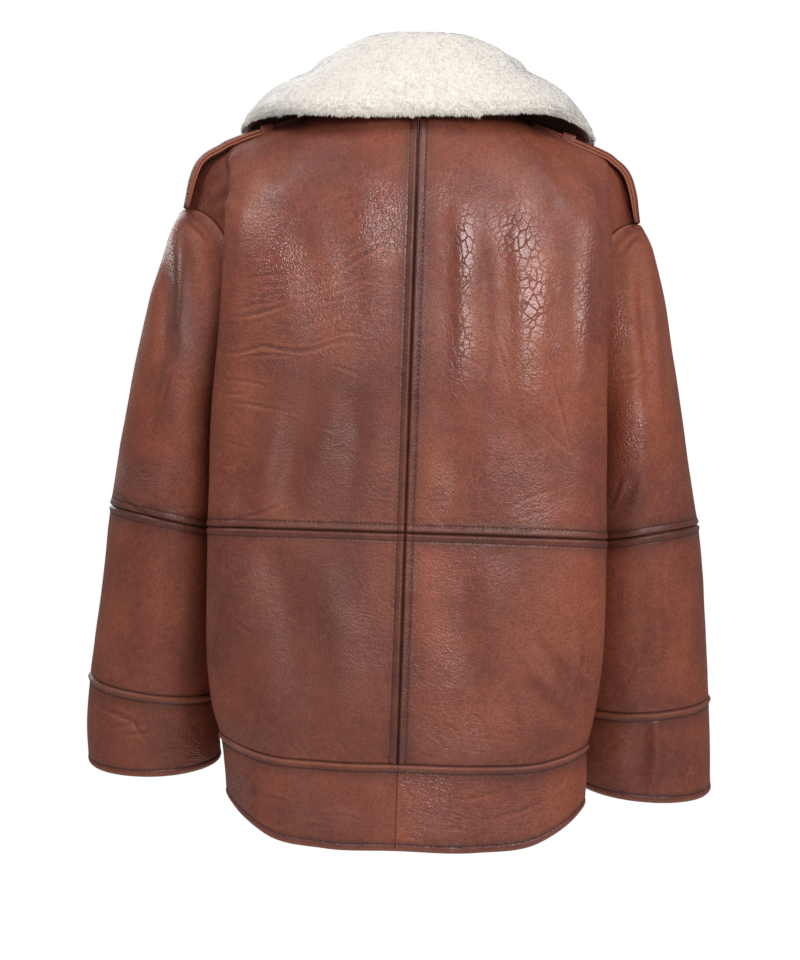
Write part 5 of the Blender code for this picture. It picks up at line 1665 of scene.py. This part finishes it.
rings = [np.stack((ring[:, 0], np.full(len(ring), face * (PULL_HALF_THICKNESS - below)),
                   ring[:, 1]), axis=-1)
         for face, half in ((-1, half_section), (1, half_section[::-1])) for ring, below in half]
local = np.concatenate(rings) + np.array((0, PIVOT[0], PIVOT[1]))
count = len(turns)
faces = [(k * count + j, k * count + (j + 1) % count,
          (k + 1) % len(rings) * count + (j + 1) % count, (k + 1) % len(rings) * count + j)
         for k in range(len(rings)) for j in range(count)]
pull = add_mesh("zip_pull_tab", laid_on_slider(local), faces, (brass,))
turn_outward(pull)
pull.data.set_sharp_from_angle(angle=math.radians(50))
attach(pull, "zip_pull")
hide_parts("zip_pull")


# ==== Topstitching ==========================================================================
# Waxed brown thread in even lockstitches of 4.5 mm beside the centre-back and waist seams, the
# front edges, the hem band, the elbow seams, the cuffs and the straps, each stitch pulled a little
# into the leather.
STITCH_PITCH = 4.5
STITCH_LENGTH = 3.1
STITCH_RADIUS = 0.42
STITCH_RINGS = ((0.0, 0.0), (0.15, 0.9), (0.85, 0.9), (1.0, 0.0))     # share of length, of radius
THREAD_SIDES = 5
# distances of the rows from their seams and edges
SEAM_ROW, FRONT_ROW, HEM_ROW, ROLLED_ROW = 7.5, 7.2, 7.0, 8.0


def waxed_thread():
    """Bonded polyester thread, waxed: dark brown with a dull shine."""
    made, tree, shader = new_material("waxed_thread")
    place = add_node(tree, "TexCoord").outputs["Object"]
    ply = add_node(tree, "TexNoise", {"Scale": per_metre(6), "Detail": 2.0}, {"Vector": place})
    tone = add_node(tree, "Mix", {"data_type": "RGBA", 6: linear("3c211b"), 7: linear("57322a")},
                    {0: ply.outputs["Fac"]})
    tree.links.new(tone.outputs[2], shader.inputs["Base Color"])
    shader.inputs["Roughness"].default_value = 0.75
    shader.inputs["Specular IOR Level"].default_value = 0.15
    return made


def line_beside(panel, run, offset, axis, wrap=False):
    """Points and normals of a panel along the line that lies offset from an edge."""
    outer, normals = panel[:2]
    if axis == 0:
        outer, normals, run = outer.swapaxes(0, 1), normals.swapaxes(0, 1), run.T
    both = np.concatenate((outer, normals), axis=-1)
    line = np.array([read_at(offset, run[n], both[n]) for n in range(len(both))])
    if wrap:
        line = np.concatenate((line, line[:1]))
    return line[:, :3], unit(line[:, 3:])


def sew(name, lines):
    """Stitches along lines of points with normals, as one piece."""
    points, faces = [], []
    turns = np.arange(THREAD_SIDES) * 2 * math.pi / THREAD_SIDES
    for line, normals in lines:
        run = run_along(line, 0)
        starts = np.arange(1.5, run[-1] - STITCH_LENGTH, STITCH_PITCH)
        for share, width in STITCH_RINGS:
            at = starts + share * STITCH_LENGTH
            spot = read_at(at, run, line)
            out = unit(read_at(at, run, normals))
            ahead = unit(read_at(at + 0.5, run, line) - read_at(at - 0.5, run, line))
            beside = unit(np.cross(ahead, out))
            lift = 0.35 * math.sin(math.pi * share) - 0.15
            for turn in turns:
                points.append(spot + out * (lift + STITCH_RADIUS * width * math.sin(turn))
                              + beside * STITCH_RADIUS * width * math.cos(turn))
        made = len(starts)
        block = sum(len(group) for group in points) - len(STITCH_RINGS) * THREAD_SIDES * made
        for k in range(len(STITCH_RINGS) - 1):
            for m in range(THREAD_SIDES):
                a = block + (k * THREAD_SIDES + m) * made
                b = block + (k * THREAD_SIDES + (m + 1) % THREAD_SIDES) * made
                c, d = a + THREAD_SIDES * made, b + THREAD_SIDES * made
                faces += [(a + s, b + s, d + s, c + s) for s in range(made)]
    thing = add_mesh(name, np.concatenate(points), faces, (thread,))
    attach(thing, "jacket")


thread = waxed_thread()
for label in SIDES:
    lines = []
    for place in ("upper", "lower"):
        panel = back_sheets[place, label]
        from_centre, up = panel[2:]
        lines.append(line_beside(panel, from_centre, SEAM_ROW, 1))
        low_seam = place == "lower"
        distance = up[-1:] - up if low_seam else up
        order = distance[::-1] if low_seam else distance
        flipped = (panel[0][::-1], panel[1][::-1]) if low_seam else panel[:2]
        lines.append(line_beside(flipped, order, SEAM_ROW, 0))
    sew(f"stitching_back_{label}", lines)
    front = front_sheets[label]
    edge_first = (front[0][:, ::-1], front[1][:, ::-1])
    band = band_sheets[label]
    across, up = band[2:]
    top_first = (band[0][::-1], band[1][::-1])
    lines = [line_beside(edge_first, front[2][:, ::-1], FRONT_ROW, 1),
             line_beside(band, up, HEM_ROW, 0),
             line_beside(top_first, (up[-1:] - up)[::-1], ROLLED_ROW, 0)]
    sew(f"stitching_front_and_hem_{label}", lines)
    lines = []
    for part, top, bottom in (("sleeve_upper", None, SEAM_ROW), ("sleeve_lower", SEAM_ROW, None),
                              ("cuff", ROLLED_ROW, HEM_ROW)):
        tube = tube_sheets[part, label]
        down = tube[2]
        if top:
            lines.append(line_beside(tube, down, top, 0, wrap=True))
        if bottom:
            turned = (tube[0][::-1], tube[1][::-1])
            lines.append(line_beside(turned, (down[-1:] - down)[::-1], bottom, 0, wrap=True))
    sew(f"stitching_sleeve_{label}", lines)
    edges, normals = strap_tops[label]
    sew(f"stitching_strap_{label}", [(edges[:, n], normals) for n in (0, 1)])


# ==== Studio ================================================================================
# A pale floor below the garment in a white room. Three soft lights stand behind the garment, one
# low over the camera and one at each side, and a weaker one stands in front of it. The camera looks
# at the back, level and rolled slightly.
def pale_floor():
    """Matt white studio paint, very slightly warm."""
    made, tree, shader = new_material("pale_floor")
    place = add_node(tree, "TexCoord").outputs["Object"]
    mottle = add_node(tree, "TexNoise", {"Scale": 0.8, "Detail": 2.0}, {"Vector": place})
    tone = add_node(tree, "Mix", {"data_type": "RGBA", 6: linear("f4f3f1"), 7: linear("faf9f7")},
                    {0: mottle.outputs["Fac"]})
    tree.links.new(tone.outputs[2], shader.inputs["Base Color"])
    shader.inputs["Roughness"].default_value = 0.8
    return made


FLOOR_Z = -1.4
FLOOR_RADIUS = 2.1
FLOOR_CORNERS = 96
turns = np.linspace(0, 2 * math.pi, FLOOR_CORNERS + 1)[:-1]
disc = np.stack((FLOOR_RADIUS * np.cos(turns), FLOOR_RADIUS * np.sin(turns), FLOOR_Z + 0 * turns),
                axis=-1)
floor = add_mesh("studio_floor", disc / MM, [tuple(range(FLOOR_CORNERS))], (pale_floor(),))

room = bpy.data.worlds.new("white_room")
bpy.context.scene.world = room
room.use_nodes = True
tree = room.node_tree
tree.nodes.clear()
seen = add_node(tree, "LightPath").outputs["Is Camera Ray"]
soft_glow = add_node(tree, "Background", {"Color": (1.0, 1.0, 1.0, 1.0), "Strength": 0.29})
backdrop = add_node(tree, "Background", {"Color": (1.0, 1.0, 1.0, 1.0), "Strength": 1.0})
either = add_node(tree, "MixShader", {}, {0: seen, 1: soft_glow, 2: backdrop})
add_node(tree, "OutputWorld", {}, {"Surface": either})


def add_softbox(name, place, target, width, height, power):
    """A rectangular studio light aimed at a point."""
    light = bpy.data.lights.new(name, "AREA")
    light.shape = "RECTANGLE"
    light.size = width
    light.size_y = height
    light.energy = power
    lamp = bpy.data.objects.new(name, light)
    way = np.array(target, float) - np.array(place, float)
    ahead = -way / np.linalg.norm(way)
    right = np.cross((0, 0, 1.0), ahead)
    right /= np.linalg.norm(right)
    over = np.cross(ahead, right)
    lamp.matrix_world = Matrix((
        (right[0], over[0], ahead[0], place[0]),
        (right[1], over[1], ahead[1], place[1]),
        (right[2], over[2], ahead[2], place[2]),
        (0, 0, 0, 1),
    ))
    bpy.context.scene.collection.objects.link(lamp)


add_softbox("key_softbox", (-0.6, 2.5, 0.46), (0, 0, -0.1), 1.1, 0.65, 31)
add_softbox("upper_softbox", (-1.3, 1.4, 1.3), (0, 0, -0.1), 1.0, 1.0, 24)
add_softbox("side_softbox", (1.3, 0.9, 1.4), (0, 0, 0.05), 0.9, 0.9, 19)
add_softbox("front_softbox", (1.0, -2.4, 0.9), (0, 0, -0.3), 1.6, 1.6, 26)

CAMERA_PLACE = (0.0065, 2.4, -0.33)
CAMERA_ROLL = 1.9             # degrees
camera = bpy.data.cameras.new("camera")
camera.sensor_width = 36
camera.lens = 90
viewer = bpy.data.objects.new("camera", camera)
bpy.context.scene.collection.objects.link(viewer)
viewer.matrix_world = (Matrix.Translation(CAMERA_PLACE) @ Matrix.Rotation(math.pi, 4, "Z")
                       @ Matrix.Rotation(math.pi / 2, 4, "X")
                       @ Matrix.Rotation(math.radians(CAMERA_ROLL), 4, "Z"))
bpy.context.scene.camera = viewer
bpy.context.scene.view_settings.view_transform = "Standard"
